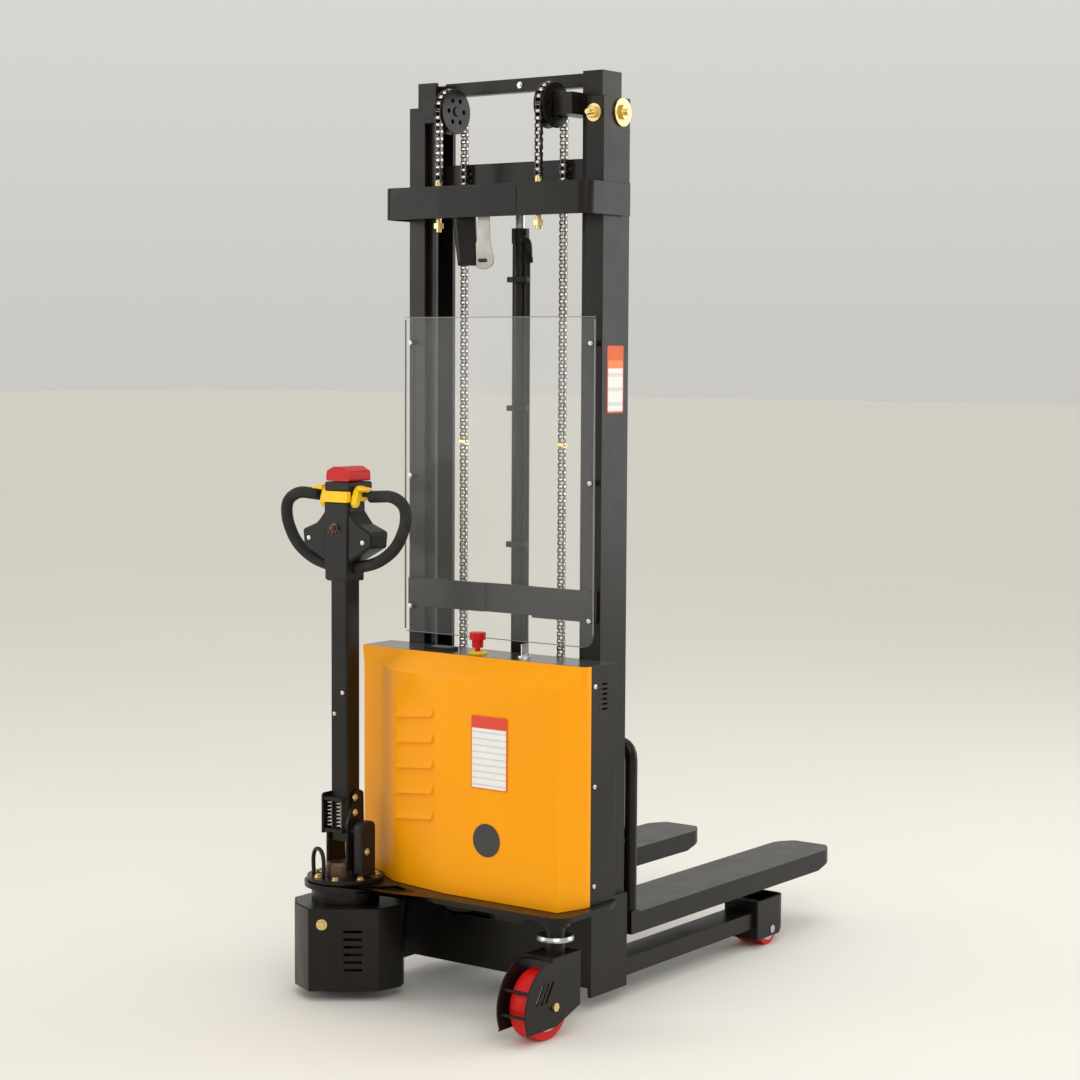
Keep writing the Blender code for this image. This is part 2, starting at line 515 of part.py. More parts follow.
def cover_solid(t):
    grow = 0.01 if t else 0.0
    rings = [[(x, y + (0.02 if t and i in (0, 7) else 0.0), z) for i, (x, y) in enumerate(cover_plan(t, top))]
             for top, z in ((False, RISE - grow), (False, BEVEL_Z), (True, COVER_TOP), (True, COVER_TOP + grow))]
    bm = bmesh.new()
    rows = [[bm.verts.new(p) for p in ring] for ring in (rings if t else rings[:3])]
    n = len(rows[0])
    for ra, rb in zip(rows, rows[1:]):
        for k in range(n):
            bm.faces.new((ra[k], ra[(k + 1) % n], rb[(k + 1) % n], rb[k]))
    bm.faces.new(rows[0][::-1])
    bm.faces.new(rows[-1])
    bmesh.ops.recalc_face_normals(bm, faces=bm.faces)
    return bm


louvres = []
fa, fb = Vector((-0.182, -COVER_REAR + 0.026, 0)), Vector((-0.010, -COVER_REAR - 0.002, 0))
along = (fb - fa).normalized()
out = Vector((along.y, -along.x, 0))
for i in range(5):
    z = 0.640 - 0.058 * i
    if z > BEVEL_Z - 0.03 or z < PLATE_TOP + 0.05:
        continue
    a, b = fa + along * 0.014, fb - along * 0.038
    low = [(a - out * 0.002), (b - out * 0.002), (b + out * 0.008), (a + out * 0.008)]
    foot, head = (z - 0.002, z + 0.012, z + 0.012, z - 0.002), (z + 0.022, z + 0.034, z + 0.034, z + 0.022)
    rim = (low[0], low[1], b - out * 0.001, a - out * 0.001)
    louvres.append(loft([(p.x, p.y, t) for p, t in zip(low, foot)], [(p.x, p.y, t) for p, t in zip(rim, head)]))
piece("rear_cover", "cover_yellow", [cover_solid(0.0)] + louvres, [cover_solid(SHEET)])

for tag, s in sides():
    x0, x1 = span(s, COVER_HALF - SHEET, COVER_HALF - GAP)
    f0, f1 = span(s, MAST_HALF + 0.012, COVER_HALF - 0.001)
    slots = [box(x0 - 0.01, x1 + 0.01, -0.070, -0.040, z, z + 0.004)
             for z in (COVER_TOP - 0.045 - 0.011 * k for k in range(6))]
    piece("side_housing_" + tag, "satin_black",
          [box(x0, x1, JOIN_Y + GAP, -0.004, RISE, COVER_TOP),
           box(f0, f1, -0.007, -0.004, RISE, COVER_TOP - 0.006)], slots)
KNOB = (-0.010, -0.076)
KEY = (0.110, -0.060)
piece("top_panel", "black_plastic",
      [prism([(x, -0.004 if i in (0, 7) else y) for i, (x, y) in enumerate(cover_plan(SHEET + 3 * GAP, True))],
             COVER_TOP - 0.0055, COVER_TOP)],
      [rod("Z", KNOB, 0.0064, 0.5, 1.0, 20), rod("Z", KEY, 0.0094, 0.5, 1.0, 20)])
piece("stop_knob", "red_poly",
      [rod("Z", KNOB, 0.0058, COVER_TOP - 0.030, COVER_TOP + 0.020, 20),
       rod("Z", KNOB, 0.013, COVER_TOP + 0.014, COVER_TOP + 0.034, 28),
       rod("Z", KNOB, 0.0185, COVER_TOP + 0.032, COVER_TOP + 0.048, 32)], origin=(*KNOB, COVER_TOP))
piece("key_switch", "bright_steel",
      [rod("Z", KEY, 0.0088, COVER_TOP - 0.028, COVER_TOP + 0.004, 24),
       box(KEY[0] - 0.0015, KEY[0] + 0.0015, KEY[1] - 0.011, KEY[1] + 0.011, COVER_TOP + 0.003, COVER_TOP + 0.030)],
      origin=(*KEY, COVER_TOP))
piece("battery", "battery_grey",
      [box(-0.060, 0.290, -0.165, -0.030, RISE, RISE + 0.205), box(-0.030, 0.000, -0.12, -0.08, RISE + 0.2, RISE + 0.222),
       box(0.230, 0.260, -0.12, -0.08, RISE + 0.2, RISE + 0.222)])
piece("pump_unit", "satin_black",
      [box(-0.290, -0.085, -0.100, -0.024, PLATE_TOP + 0.026, PLATE_TOP + 0.150),
       rod("Z", (-0.190, -0.070), 0.042, PLATE_TOP + 0.145, PLATE_TOP + 0.330, 36),
       box(-0.280, -0.140, -0.095, -0.030, RISE, PLATE_TOP + 0.030)])
piece("controller", "black_plastic",
      [box(0.020, 0.260, -0.110, -0.030, RISE + 0.250, RISE + 0.330),
       box(0.040, 0.060, -0.090, -0.060, RISE + 0.2055, RISE + 0.252),
       box(0.190, 0.210, -0.090, -0.060, RISE + 0.2055, RISE + 0.252)])

# ---------------------------------------------------------------- drive unit
PIVOT = (DRIVE_X, DRIVE_Y, DRIVE_R)


def drive_ring(t):
    pts = [(-0.100 + t, 0.080), (-0.100 + t, -0.062), (-0.060 + 0.7 * t, -0.107 + 0.8 * t), (0.010, -0.139 + 1.1 * t),
           (0.135 - 1.2 * t, -0.043 + 0.3 * t), (0.148 - t, 0.020), (0.120 - t, 0.080)]
    return [(DRIVE_X + x, DRIVE_Y + y) for x, y in pts]


piece("drive_head", "satin_black",
      [prism(drive_ring(0.004), DECK - 0.012, DECK),
       rod("Z", (DRIVE_X, DRIVE_Y), JOURNAL_R, DECK - 0.002, PLATE_TOP + 0.004, 48),
       rod("Z", (DRIVE_X, DRIVE_Y), 0.088, PLATE_TOP + 0.002, PLATE_TOP + 0.011, 48),
       box(DRIVE_X - 0.090, DRIVE_X - 0.040, DRIVE_Y - 0.050, DRIVE_Y + 0.050, 0.035, DECK - 0.010),
       rod("X", (DRIVE_Y, DRIVE_R), 0.020, DRIVE_X - 0.045, DRIVE_X + 0.030, 24)], origin=PIVOT)
piece("drive_motor", "satin_black",
      [rod("X", (DRIVE_Y + 0.010, DRIVE_R + 0.035), 0.045, DRIVE_X + 0.044, DRIVE_X + 0.118, 36),
       box(DRIVE_X + 0.055, DRIVE_X + 0.100, DRIVE_Y - 0.020, DRIVE_Y + 0.040, DRIVE_R + 0.06, DECK - 0.0125)],
      origin=PIVOT)
piece("drive_wheel", "black_rubber", [rod("X", (DRIVE_Y, DRIVE_R), DRIVE_R, DRIVE_X - DRIVE_W / 2,
                                          DRIVE_X + DRIVE_W / 2, 56)],
      [rod("X", (DRIVE_Y, DRIVE_R), 0.0205, DRIVE_X - 0.1, DRIVE_X + 0.1, 24),
       rod("X", (DRIVE_Y, DRIVE_R), 0.060, DRIVE_X + 0.015, DRIVE_X + 0.1, 40)], PIVOT)
vents = []
seg = (Vector((0.010, -0.139)), Vector((0.135, -0.043)))
d = (seg[1] - seg[0]).normalized()
ang = math.degrees(math.atan2(d.y, d.x))
mid = seg[0] + d * 0.100
for k in range(6):
    z = 0.070 + 0.0175 * k
    vents.append(turned(box(DRIVE_X + mid.x - 0.021, DRIVE_X + mid.x + 0.021, DRIVE_Y + mid.y - 0.015,
                            DRIVE_Y + mid.y + 0.015, z, z + 0.006), ang, "Z",
                        (DRIVE_X + mid.x, DRIVE_Y + mid.y, z)))
    vents.append(box(DRIVE_X - 0.110, DRIVE_X - 0.090, DRIVE_Y - 0.050, DRIVE_Y - 0.010, z, z + 0.006))
skirt = prism(drive_ring(0.0), 0.024, DECK - 0.001)
piece("drive_cover", "satin_black", [skirt],
      [prism([(x, y + (0.02 if y > DRIVE_Y + 0.05 else 0.0)) for x, y in drive_ring(0.003)], 0.0, 0.3)] + vents,
      PIVOT)

# ---------------------------------------------------------------- tiller
TOP = PLATE_TOP + 0.011 + GAP
EAR = ARM_W / 2 + RUN
TP = (DRIVE_X, DRIVE_Y, TILLER_PIVOT)
ears = [rod("Z", (DRIVE_X, DRIVE_Y), 0.040, TOP, TOP + 0.014, 40),
        box(DRIVE_X - EAR - 0.006, DRIVE_X + EAR + 0.006, DRIVE_Y - 0.030, DRIVE_Y + 0.030, TOP + 0.010, TOP + 0.026)]
for _, s in sides():
    plate = rounded([(DRIVE_Y - 0.030, TOP + 0.012), (DRIVE_Y + 0.030, TOP + 0.012),
                     (DRIVE_Y + 0.026, TILLER_PIVOT + 0.09), (DRIVE_Y + 0.002, TILLER_PIVOT + 0.10),
                     (DRIVE_Y - 0.030, TILLER_PIVOT + 0.02)], [0, 0, 0.01, 0.01, 0.01])
    ears.append(prism(plate, *sorted((DRIVE_X + s * EAR, DRIVE_X + s * (EAR + 0.006))), "X"))
piece("tiller_bracket", "satin_black", ears,
      [rod("X", (DRIVE_Y, TILLER_PIVOT), 0.0083, DRIVE_X - 0.1, DRIVE_X + 0.1, 20)], TP)
piece("tiller_pin", "zinc_yellow",
      [rod("X", (DRIVE_Y, TILLER_PIVOT), 0.008, DRIVE_X - EAR - 0.008, DRIVE_X + EAR + 0.010, 20),
       rod("X", (DRIVE_Y, TILLER_PIVOT), 0.0125, DRIVE_X + EAR + 0.0064, DRIVE_X + EAR + 0.014, 6)], origin=TP)
NECK = TILLER_TOP - 0.247
piece("tiller_arm", "satin_black",
      [prism(rounded([(DRIVE_X - ARM_W / 2, DRIVE_Y - ARM_D / 2), (DRIVE_X + ARM_W / 2, DRIVE_Y - ARM_D / 2),
                      (DRIVE_X + ARM_W / 2, DRIVE_Y + ARM_D / 2), (DRIVE_X - ARM_W / 2, DRIVE_Y + ARM_D / 2)], 0.006),
             TILLER_PIVOT - 0.022, NECK)],
      [rod("X", (DRIVE_Y, TILLER_PIVOT), 0.0084, DRIVE_X - 0.1, DRIVE_X + 0.1, 20),
       box(DRIVE_X - ARM_W / 2 + 0.004, DRIVE_X + ARM_W / 2 - 0.004, DRIVE_Y - ARM_D / 2 + 0.004,
           DRIVE_Y + ARM_D / 2 - 0.004, TILLER_PIVOT - 0.03, NECK - 0.012)], TP)
HEAD_D = 0.026
H = TILLER_TOP
shape = rounded([(0.028, NECK + GAP), (0.034, H - 0.215), (0.100, H - 0.180), (0.104, H - 0.145), (0.060, H - 0.128),
                 (0.036, H - 0.100), (0.036, H - 0.034)] + [(-0.036, H - 0.034), (-0.036, H - 0.100),
                 (-0.060, H - 0.128), (-0.104, H - 0.145), (-0.100, H - 0.180), (-0.034, H - 0.215),
                 (-0.028, NECK + GAP)], 0.008, 3)
BAND = H - 0.062
GRIP_Y = DRIVE_Y
piece("tiller_head", "black_plastic",
      [prism([(DRIVE_X + x, z) for x, z in shape], DRIVE_Y - HEAD_D, DRIVE_Y + HEAD_D, "Y"),
       box(DRIVE_X - 0.034, DRIVE_X + 0.034, DRIVE_Y, DRIVE_Y + 0.050, H - 0.056, H - 0.034),
       rod("X", (DRIVE_Y, BAND), 0.0055, DRIVE_X - 0.072, DRIVE_X + 0.072, 16)],
      [rod("Y", (DRIVE_X, H - 0.098), 0.0094, DRIVE_Y - HEAD_D - 0.01, DRIVE_Y - 0.008, 20),
       box(DRIVE_X - 0.0124, DRIVE_X + 0.0124, DRIVE_Y + 0.008, DRIVE_Y + HEAD_D + 0.01, H - 0.1215, H - 0.0785)], TP)
for tag, s in sides():
    path = [(DRIVE_X + s * 0.0765, GRIP_Y, H - 0.066), (DRIVE_X + s * 0.142, GRIP_Y, H - 0.062),
            (DRIVE_X + s * (GRIP_HALF - GRIP_R), GRIP_Y, H - 0.084),
            (DRIVE_X + s * (GRIP_HALF - GRIP_R), GRIP_Y, H - 0.126), (DRIVE_X + s * 0.152, GRIP_Y, H - 0.178),
            (DRIVE_X + s * 0.100, GRIP_Y, H - 0.214), (DRIVE_X + s * 0.0360, GRIP_Y, H - 0.2285)]
    piece("hand_loop_" + tag, "black_rubber", [pipe(path, GRIP_R, 16, 0.030)],
          [prism([(DRIVE_X + x, z) for x, z in shape], DRIVE_Y - 0.05, DRIVE_Y + 0.05, "Y")], TP)
    x0, x1 = sorted((DRIVE_X + s * 0.0366, DRIVE_X + s * 0.0758))
    wing = [(DRIVE_Y - 0.004, BAND), (DRIVE_Y - 0.030, BAND - 0.010), (DRIVE_Y - 0.034, BAND + 0.004),
            (DRIVE_Y - 0.004, BAND + 0.014)]
    piece("throttle_" + tag, "yellow_plastic",
          [rod("X", (DRIVE_Y, BAND), 0.019, x0, x1, 28), prism(wing, x0 + 0.004, x1 - 0.004, "X")],
          [rod("X", (DRIVE_Y, BAND), 0.0060, x0 - 0.01, x1 + 0.01, 16),
           rod("X", (DRIVE_Y, BAND), GRIP_R + RUN, *sorted((DRIVE_X + s * 0.071, DRIVE_X + s * 0.090)), 20)],
          (DRIVE_X, DRIVE_Y, BAND))
piece("belly_button", "red_poly",
      [prism(rounded([(DRIVE_X - 0.035, H - 0.0325), (DRIVE_X + 0.035, H - 0.0325), (DRIVE_X + 0.033, H - 0.010),
                      (DRIVE_X + 0.012, H), (DRIVE_X - 0.012, H), (DRIVE_X - 0.033, H - 0.010)], 0.006, 3),
             DRIVE_Y - 0.026, DRIVE_Y + 0.048, "Y")], origin=TP)
piece("horn_button", "yellow_plastic",
      [rod("Y", (DRIVE_X, H - 0.098), 0.0088, DRIVE_Y - HEAD_D - 0.004, DRIVE_Y - 0.013, 20)], origin=TP)
piece("lift_rocker", "yellow_plastic",
      [box(DRIVE_X - 0.012, DRIVE_X + 0.012, DRIVE_Y + 0.012, DRIVE_Y + HEAD_D + 0.004, H - 0.1185, H - 0.0815)],
      origin=(DRIVE_X, DRIVE_Y + HEAD_D, H - 0.100))

# ---------------------------------------------------------------- caster
AXLE_Y = CASTER_Y - TRAIL
CHEEK = CASTER_W / 2 + 0.010
CROWN = 2 * CASTER_R + 0.020
SP = (CASTER_X, CASTER_Y, CASTER_R)


def cheek():
    arc = circle(AXLE_Y, CASTER_R, CASTER_R + 0.025, 14, 107.0, 98.0)
    return [(CASTER_Y + 0.040, CASTER_R - 0.015), (CASTER_Y + 0.040, CROWN + 0.010)] + arc + [
        (AXLE_Y - CASTER_R - 0.020, CASTER_R - 0.045), (AXLE_Y + 0.010, CASTER_R - 0.045)]


fork_parts = [box(CASTER_X - CHEEK - 0.003, CASTER_X + CHEEK + 0.003, CASTER_Y - 0.060, CASTER_Y + 0.039, CROWN, CROWN + 0.009),
              rod("Z", (CASTER_X, CASTER_Y), 0.021, CROWN + 0.004, UNDER - 0.004, 32),
              rod("Z", (CASTER_X, CASTER_Y), 0.032, UNDER - 0.010, UNDER - GAP, 36)]
for _, s in sides():
    fork_parts.append(prism(cheek(), *sorted((CASTER_X + s * CHEEK, CASTER_X + s * (CHEEK + 0.004))), "X"))
for a in (152.0, 186.0):
    y = AXLE_Y + (CASTER_R + 0.014) * math.cos(math.radians(a))
    z = CASTER_R + (CASTER_R + 0.014) * math.sin(math.radians(a))
    fork_parts.append(rod("X", (y, z), 0.0040, CASTER_X - CHEEK - 0.001, CASTER_X + CHEEK + 0.001, 12))
slits = []
for k in range(3):
    y = AXLE_Y - (0.240 + 0.227 * k) * CASTER_R
    slits.append(turned(box(CASTER_X, CASTER_X + 0.1, y - 0.0035, y + 0.0035, 1.133 * CASTER_R, 1.800 * CASTER_R),
                        -32, "X", (CASTER_X, y, 1.400 * CASTER_R)))
piece("caster_fork", "satin_black", fork_parts,
      [rod("X", (AXLE_Y, CASTER_R), 0.0063, CASTER_X - 0.1, CASTER_X + 0.1, 20)] + slits, SP)
piece("caster_axle", "zinc_yellow",
      [rod("X", (AXLE_Y, CASTER_R), 0.006, CASTER_X - CHEEK - 0.008, CASTER_X + CHEEK + 0.006, 20),
       rod("X", (AXLE_Y, CASTER_R), 0.0105, CASTER_X + CHEEK + 0.0044, CASTER_X + CHEEK + 0.012, 6),
       rod("X", (AXLE_Y, CASTER_R), 0.0105, CASTER_X - CHEEK - 0.010, CASTER_X - CHEEK - 0.0044, 6)], origin=SP)
piece("caster_wheel", "red_poly",
      [rod("X", (AXLE_Y, CASTER_R), CASTER_R, CASTER_X - CASTER_W / 2, CASTER_X + CASTER_W / 2, 56),
       rod("X", (AXLE_Y, CASTER_R), 0.020, CASTER_X - CHEEK + 0.0006, CASTER_X + CHEEK - 0.0006, 28)],
      [rod("X", (AXLE_Y, CASTER_R), 0.0065, CASTER_X - 0.1, CASTER_X + 0.1, 20)], (CASTER_X, AXLE_Y, CASTER_R))
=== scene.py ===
"""Walkie stacker look: finishes for the modelled nodes, small fittings, roller chains and a studio."""
import json
import math

import bmesh
import bpy
from bpy.props import FloatProperty, FloatVectorProperty, PointerProperty
from mathutils import Matrix, Vector


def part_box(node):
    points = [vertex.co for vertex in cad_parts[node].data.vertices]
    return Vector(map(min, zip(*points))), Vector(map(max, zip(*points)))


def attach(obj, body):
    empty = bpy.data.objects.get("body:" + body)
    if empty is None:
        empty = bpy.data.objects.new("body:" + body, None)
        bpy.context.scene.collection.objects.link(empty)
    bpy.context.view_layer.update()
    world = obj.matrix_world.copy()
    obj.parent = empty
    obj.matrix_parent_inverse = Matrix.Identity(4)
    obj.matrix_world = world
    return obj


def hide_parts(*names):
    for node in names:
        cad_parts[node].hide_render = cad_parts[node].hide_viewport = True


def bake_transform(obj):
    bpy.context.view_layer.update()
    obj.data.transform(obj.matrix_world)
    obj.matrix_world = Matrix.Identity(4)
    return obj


bl_info = {
    "name": "Walkie stacker",
    "version": (1, 0, 0),
    "blender": (4, 5, 0),
    "location": "View3D > Sidebar > Stacker",
    "description": "Finishes, chains and fittings of a walkie stacker on its packed frame",
    "category": "Object",
}

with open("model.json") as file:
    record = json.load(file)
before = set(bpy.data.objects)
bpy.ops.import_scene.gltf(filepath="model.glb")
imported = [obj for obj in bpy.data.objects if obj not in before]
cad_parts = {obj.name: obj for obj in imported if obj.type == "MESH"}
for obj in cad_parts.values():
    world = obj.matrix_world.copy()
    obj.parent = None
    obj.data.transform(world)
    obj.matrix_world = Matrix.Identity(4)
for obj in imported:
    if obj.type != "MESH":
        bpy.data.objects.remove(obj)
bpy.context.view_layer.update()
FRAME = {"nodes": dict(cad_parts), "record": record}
ROLL_R = 0.0052
LINK_HALF = 0.0084
SIDES = (("l", -1.0), ("r", 1.0))


def middle(node):
    low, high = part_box(node)
    return (low + high) / 2


# ------------------------------------------------------------------ sizes and colours
class StackerFinish(bpy.types.PropertyGroup):
    """Paint colours of the machine."""
    frame: FloatVectorProperty(name="Frame", description="Powder coat of the mast, chassis and forks",
                               subtype="COLOR", size=3, min=0, max=1, default=(0.0085, 0.0068, 0.0055))
    cover: FloatVectorProperty(name="Cover", description="Gloss paint of the rear cover", subtype="COLOR",
                               size=3, min=0, max=1, default=(1.0, 0.365, 0.0))
    wheel: FloatVectorProperty(name="Wheels", description="Polyurethane of the caster and load rollers",
                               subtype="COLOR", size=3, min=0, max=1, default=(0.62, 0.003, 0.002))
    accent: FloatVectorProperty(name="Controls", description="Moulded thumb controls", subtype="COLOR",
                                size=3, min=0, max=1, default=(0.98, 0.56, 0.01))


class StackerSizes(bpy.types.PropertyGroup):
    """Small fittings that the frame leaves open."""
    chain_pitch: FloatProperty(name="Chain pitch", description="Pin to pin distance of the lift chains",
                               default=0.01588, min=0.008, max=0.03, subtype="DISTANCE", unit="LENGTH")
    screw_head: FloatProperty(name="Screw head", description="Radius of a guard screw's head",
                              default=0.0058, min=0.003, max=0.01, subtype="DISTANCE", unit="LENGTH")
    edge: FloatProperty(name="Edge radius", description="Rounding of bent and cut sheet edges",
                        default=0.0012, min=0.0003, max=0.004, subtype="DISTANCE", unit="LENGTH")


# ------------------------------------------------------------------ finishes
class Finish:
    """A node material being wired: every surface gets its own grain, wear and colour drift."""

    def __init__(self, name, colour, rough, metal=0.0):
        self.mat = bpy.data.materials.new(name)
        self.mat.use_nodes = True
        self.tree = self.mat.node_tree
        self.bsdf = self.tree.nodes["Principled BSDF"]
        self.colour, self.rough = tuple(colour), rough
        self.bsdf.inputs["Metallic"].default_value = metal
        self.coords = self.add("ShaderNodeTexCoord").outputs["Object"]
        self.normal = None

    def add(self, kind, **values):
        node = self.tree.nodes.new(kind)
        for key, value in values.items():
            if key in node.inputs:
                node.inputs[key].default_value = value
            else:
                setattr(node, key, value)
        return node

    def link(self, a, b):
        self.tree.links.new(a, b)

    def noise(self, scale, detail=4.0, rough=0.55, stretch=None):
        node = self.add("ShaderNodeTexNoise", Scale=scale, Detail=detail, Roughness=rough)
        source = self.coords
        if stretch:
            mapping = self.add("ShaderNodeMapping", Scale=stretch)
            self.link(source, mapping.inputs["Vector"])
            source = mapping.outputs["Vector"]
        self.link(source, node.inputs["Vector"])
        return node.outputs["Fac"]

    def ramp(self, fac, low, high, a=0.35, b=0.65):
        node = self.add("ShaderNodeValToRGB")
        node.color_ramp.elements[0].position, node.color_ramp.elements[1].position = a, b
        node.color_ramp.elements[0].color = (*low, 1) if len(low) == 3 else low
        node.color_ramp.elements[1].color = (*high, 1) if len(high) == 3 else high
        self.link(fac, node.inputs["Fac"])
        return node.outputs["Color"]

    def mixed(self, fac, a, b):
        node = self.add("ShaderNodeMix", data_type="RGBA")
        self.link(fac, node.inputs["Factor"])
        for value, socket in ((a, node.inputs[6]), (b, node.inputs[7])):
            if isinstance(value, bpy.types.NodeSocket):
                self.link(value, socket)
            else:
                socket.default_value = (*value, 1)
        return node.outputs[2]

    def drift(self, scale, amount, tint=(1, 1, 1)):
        """Colour that wanders a little darker and lighter than its mean."""
        low = [c * (1 - amount) for c in self.colour]
        high = [min(1, c * (1 + amount) * t + 0.004 * amount) for c, t in zip(self.colour, tint)]
        return self.ramp(self.noise(scale, 5), low, high)

    def bump(self, height, strength, distance):
        node = self.add("ShaderNodeBump", Strength=strength, Distance=distance)
        self.link(height, node.inputs["Height"])
        if self.normal:
            self.link(self.normal, node.inputs["Normal"])
        self.normal = node.outputs["Normal"]

    def done(self, colour, rough_noise, rough_span):
        self.link(colour, self.bsdf.inputs["Base Color"])
        span = self.add("ShaderNodeMapRange")
        span.inputs["To Min"].default_value = max(0.02, self.rough - rough_span)
        span.inputs["To Max"].default_value = min(1, self.rough + rough_span)
        self.link(rough_noise, span.inputs["Value"])
        self.link(span.outputs["Result"], self.bsdf.inputs["Roughness"])
        if self.normal:
            self.link(self.normal, self.bsdf.inputs["Normal"])
        return self.mat


def powder_coat(name, colour):
    """Satin black coat: fine orange peel, rubbed patches that scatter more light, faint dust."""
    f = Finish(name, colour, 0.31)
    f.bsdf.inputs["Specular IOR Level"].default_value = 0.24
    base = f.drift(7.0, 0.22, (1.08, 1.0, 0.92))
    dust = f.ramp(f.noise(3.1, 8, 0.7), (0, 0, 0), (0.30, 0.30, 0.30), 0.55, 0.85)
    colour = f.mixed(dust, base, (0.030, 0.026, 0.022))
    f.bump(f.noise(420.0, 3), 0.16, 0.0006)
    f.bump(f.noise(34.0, 2), 0.05, 0.002)
    return f.done(colour, f.noise(16.0, 6, 0.65), 0.10)


def gloss_paint(name, colour):
    """Stove-enamelled sheet: long soft waves, light scuffs and a clear top coat."""
    f = Finish(name, colour, 0.34)
    f.bsdf.inputs["Specular IOR Level"].default_value = 0.15
    f.bsdf.inputs["Coat Weight"].default_value = 0.05
    f.bsdf.inputs["Coat Roughness"].default_value = 0.12
    base = f.drift(2.4, 0.045)
    scuff = f.ramp(f.noise(70.0, 8, 0.7, (1, 1, 7)), (0, 0, 0), (0.5, 0.5, 0.5), 0.66, 0.80)
    colour = f.mixed(scuff, base, [c * 0.82 for c in f.colour])
    f.bump(f.noise(9.0, 2), 0.10, 0.003)
    f.bump(f.noise(330.0, 2), 0.06, 0.0005)
    return f.done(colour, f.noise(11.0, 5), 0.07)


def moulded(name, colour, rough=0.5, grain=520.0):
    """Injection-moulded plastic with a spark-eroded grain."""
    f = Finish(name, colour, rough)
    f.bsdf.inputs["Specular IOR Level"].default_value = 0.25
    cells = f.add("ShaderNodeTexVoronoi", Scale=grain)
    f.link(f.coords, cells.inputs["Vector"])
    f.bump(cells.outputs["Distance"], 0.22, 0.0004)
    return f.done(f.drift(12.0, 0.12), f.noise(24.0, 5), 0.08)


def rubber(name, colour):
    f = Finish(name, colour, 0.72)
    f.bsdf.inputs["Specular IOR Level"].default_value = 0.35
    grime = f.ramp(f.noise(22.0, 7, 0.7), (0, 0, 0), (0.4, 0.4, 0.4), 0.48, 0.75)
    f.bump(f.noise(260.0, 5), 0.3, 0.0006)
    return f.done(f.mixed(grime, f.drift(9.0, 0.2), (0.07, 0.062, 0.055)), f.noise(30.0, 4), 0.08)


def urethane(name, colour):
    """Cast tread: slightly translucent, with scuffs and rolled-in dust."""
    f = Finish(name, colour, 0.36)
    f.bsdf.inputs["Specular IOR Level"].default_value = 0.25
    f.bsdf.inputs["Coat Weight"].default_value = 0.06
    scuff = f.ramp(f.noise(48.0, 9, 0.72), (0, 0, 0), (0.6, 0.6, 0.6), 0.55, 0.78)
    colour = f.mixed(scuff, f.drift(6.0, 0.10), [c * 0.55 + 0.008 for c in f.colour])
    f.bump(f.noise(150.0, 5), 0.18, 0.0006)
    return f.done(colour, f.noise(20.0, 5), 0.09)


def bare_metal(name, colour, rough, stretch=(1, 1, 14), grain=160.0):
    """Turned or plated steel with tool marks along the work and stained patches."""
    f = Finish(name, colour, rough, 1.0)
    f.bsdf.inputs["Anisotropic"].default_value = 0.3
    stain = f.ramp(f.noise(36.0, 7, 0.7), (0, 0, 0), (0.5, 0.5, 0.5), 0.5, 0.8)
    f.bump(f.noise(grain, 4, 0.6, stretch), 0.12, 0.0004)
    colour = f.mixed(stain, f.drift(18.0, 0.16), [c * 0.55 for c in f.colour])
    return f.done(colour, f.noise(60.0, 5), 0.10)


def oiled_chain(name, colour):
    f = Finish(name, colour, 0.34, 1.0)
    grease = f.ramp(f.noise(190.0, 6, 0.7), (0, 0, 0), (0.8, 0.8, 0.8), 0.42, 0.62)
    f.bump(f.noise(700.0, 3), 0.2, 0.0003)
    return f.done(f.mixed(grease, f.drift(60.0, 0.3), (0.045, 0.04, 0.034)), f.noise(240.0, 4), 0.14)


def clear_sheet(name, colour):
    """Polycarbonate sheet: mostly see-through, a little haze and fine wiping marks."""
    f = Finish(name, colour, 0.07)
    f.bsdf.inputs["Alpha"].default_value = 0.05
    f.bsdf.inputs["Specular IOR Level"].default_value = 0.5
    f.bsdf.inputs["IOR"].default_value = 1.49
    f.bump(f.noise(3.0, 2), 0.02, 0.004)
    f.mat.surface_render_method = "BLENDED"
    return f.done(f.drift(4.0, 0.05), f.noise(90.0, 8, 0.7, (1, 1, 0.2)), 0.04)


def printed_film(name, paper, band, rule):
    """Blank printed sticker: a coloured head, ruled grey bars below, no lettering."""
    f = Finish(name, paper, 0.38)
    height = f.add("ShaderNodeSeparateXYZ")
    texture = f.add("ShaderNodeTexCoord")
    f.link(texture.outputs["Generated"], height.inputs["Vector"])
    up = f.ramp(height.outputs["Z"], (0, 0, 0), (1, 1, 1), 0.835, 0.845)
    wave = f.add("ShaderNodeTexWave", Scale=rule, wave_type="BANDS", bands_direction="Z")
    f.link(texture.outputs["Generated"], wave.inputs["Vector"])
    lines = f.ramp(wave.outputs["Fac"], (0, 0, 0), (0.34, 0.34, 0.34), 0.80, 0.90)
    body = f.mixed(lines, f.drift(30.0, 0.03), (0.32, 0.30, 0.30))
    return f.done(f.mixed(up, body, band), f.noise(80.0, 4), 0.06)


PALETTE = {}


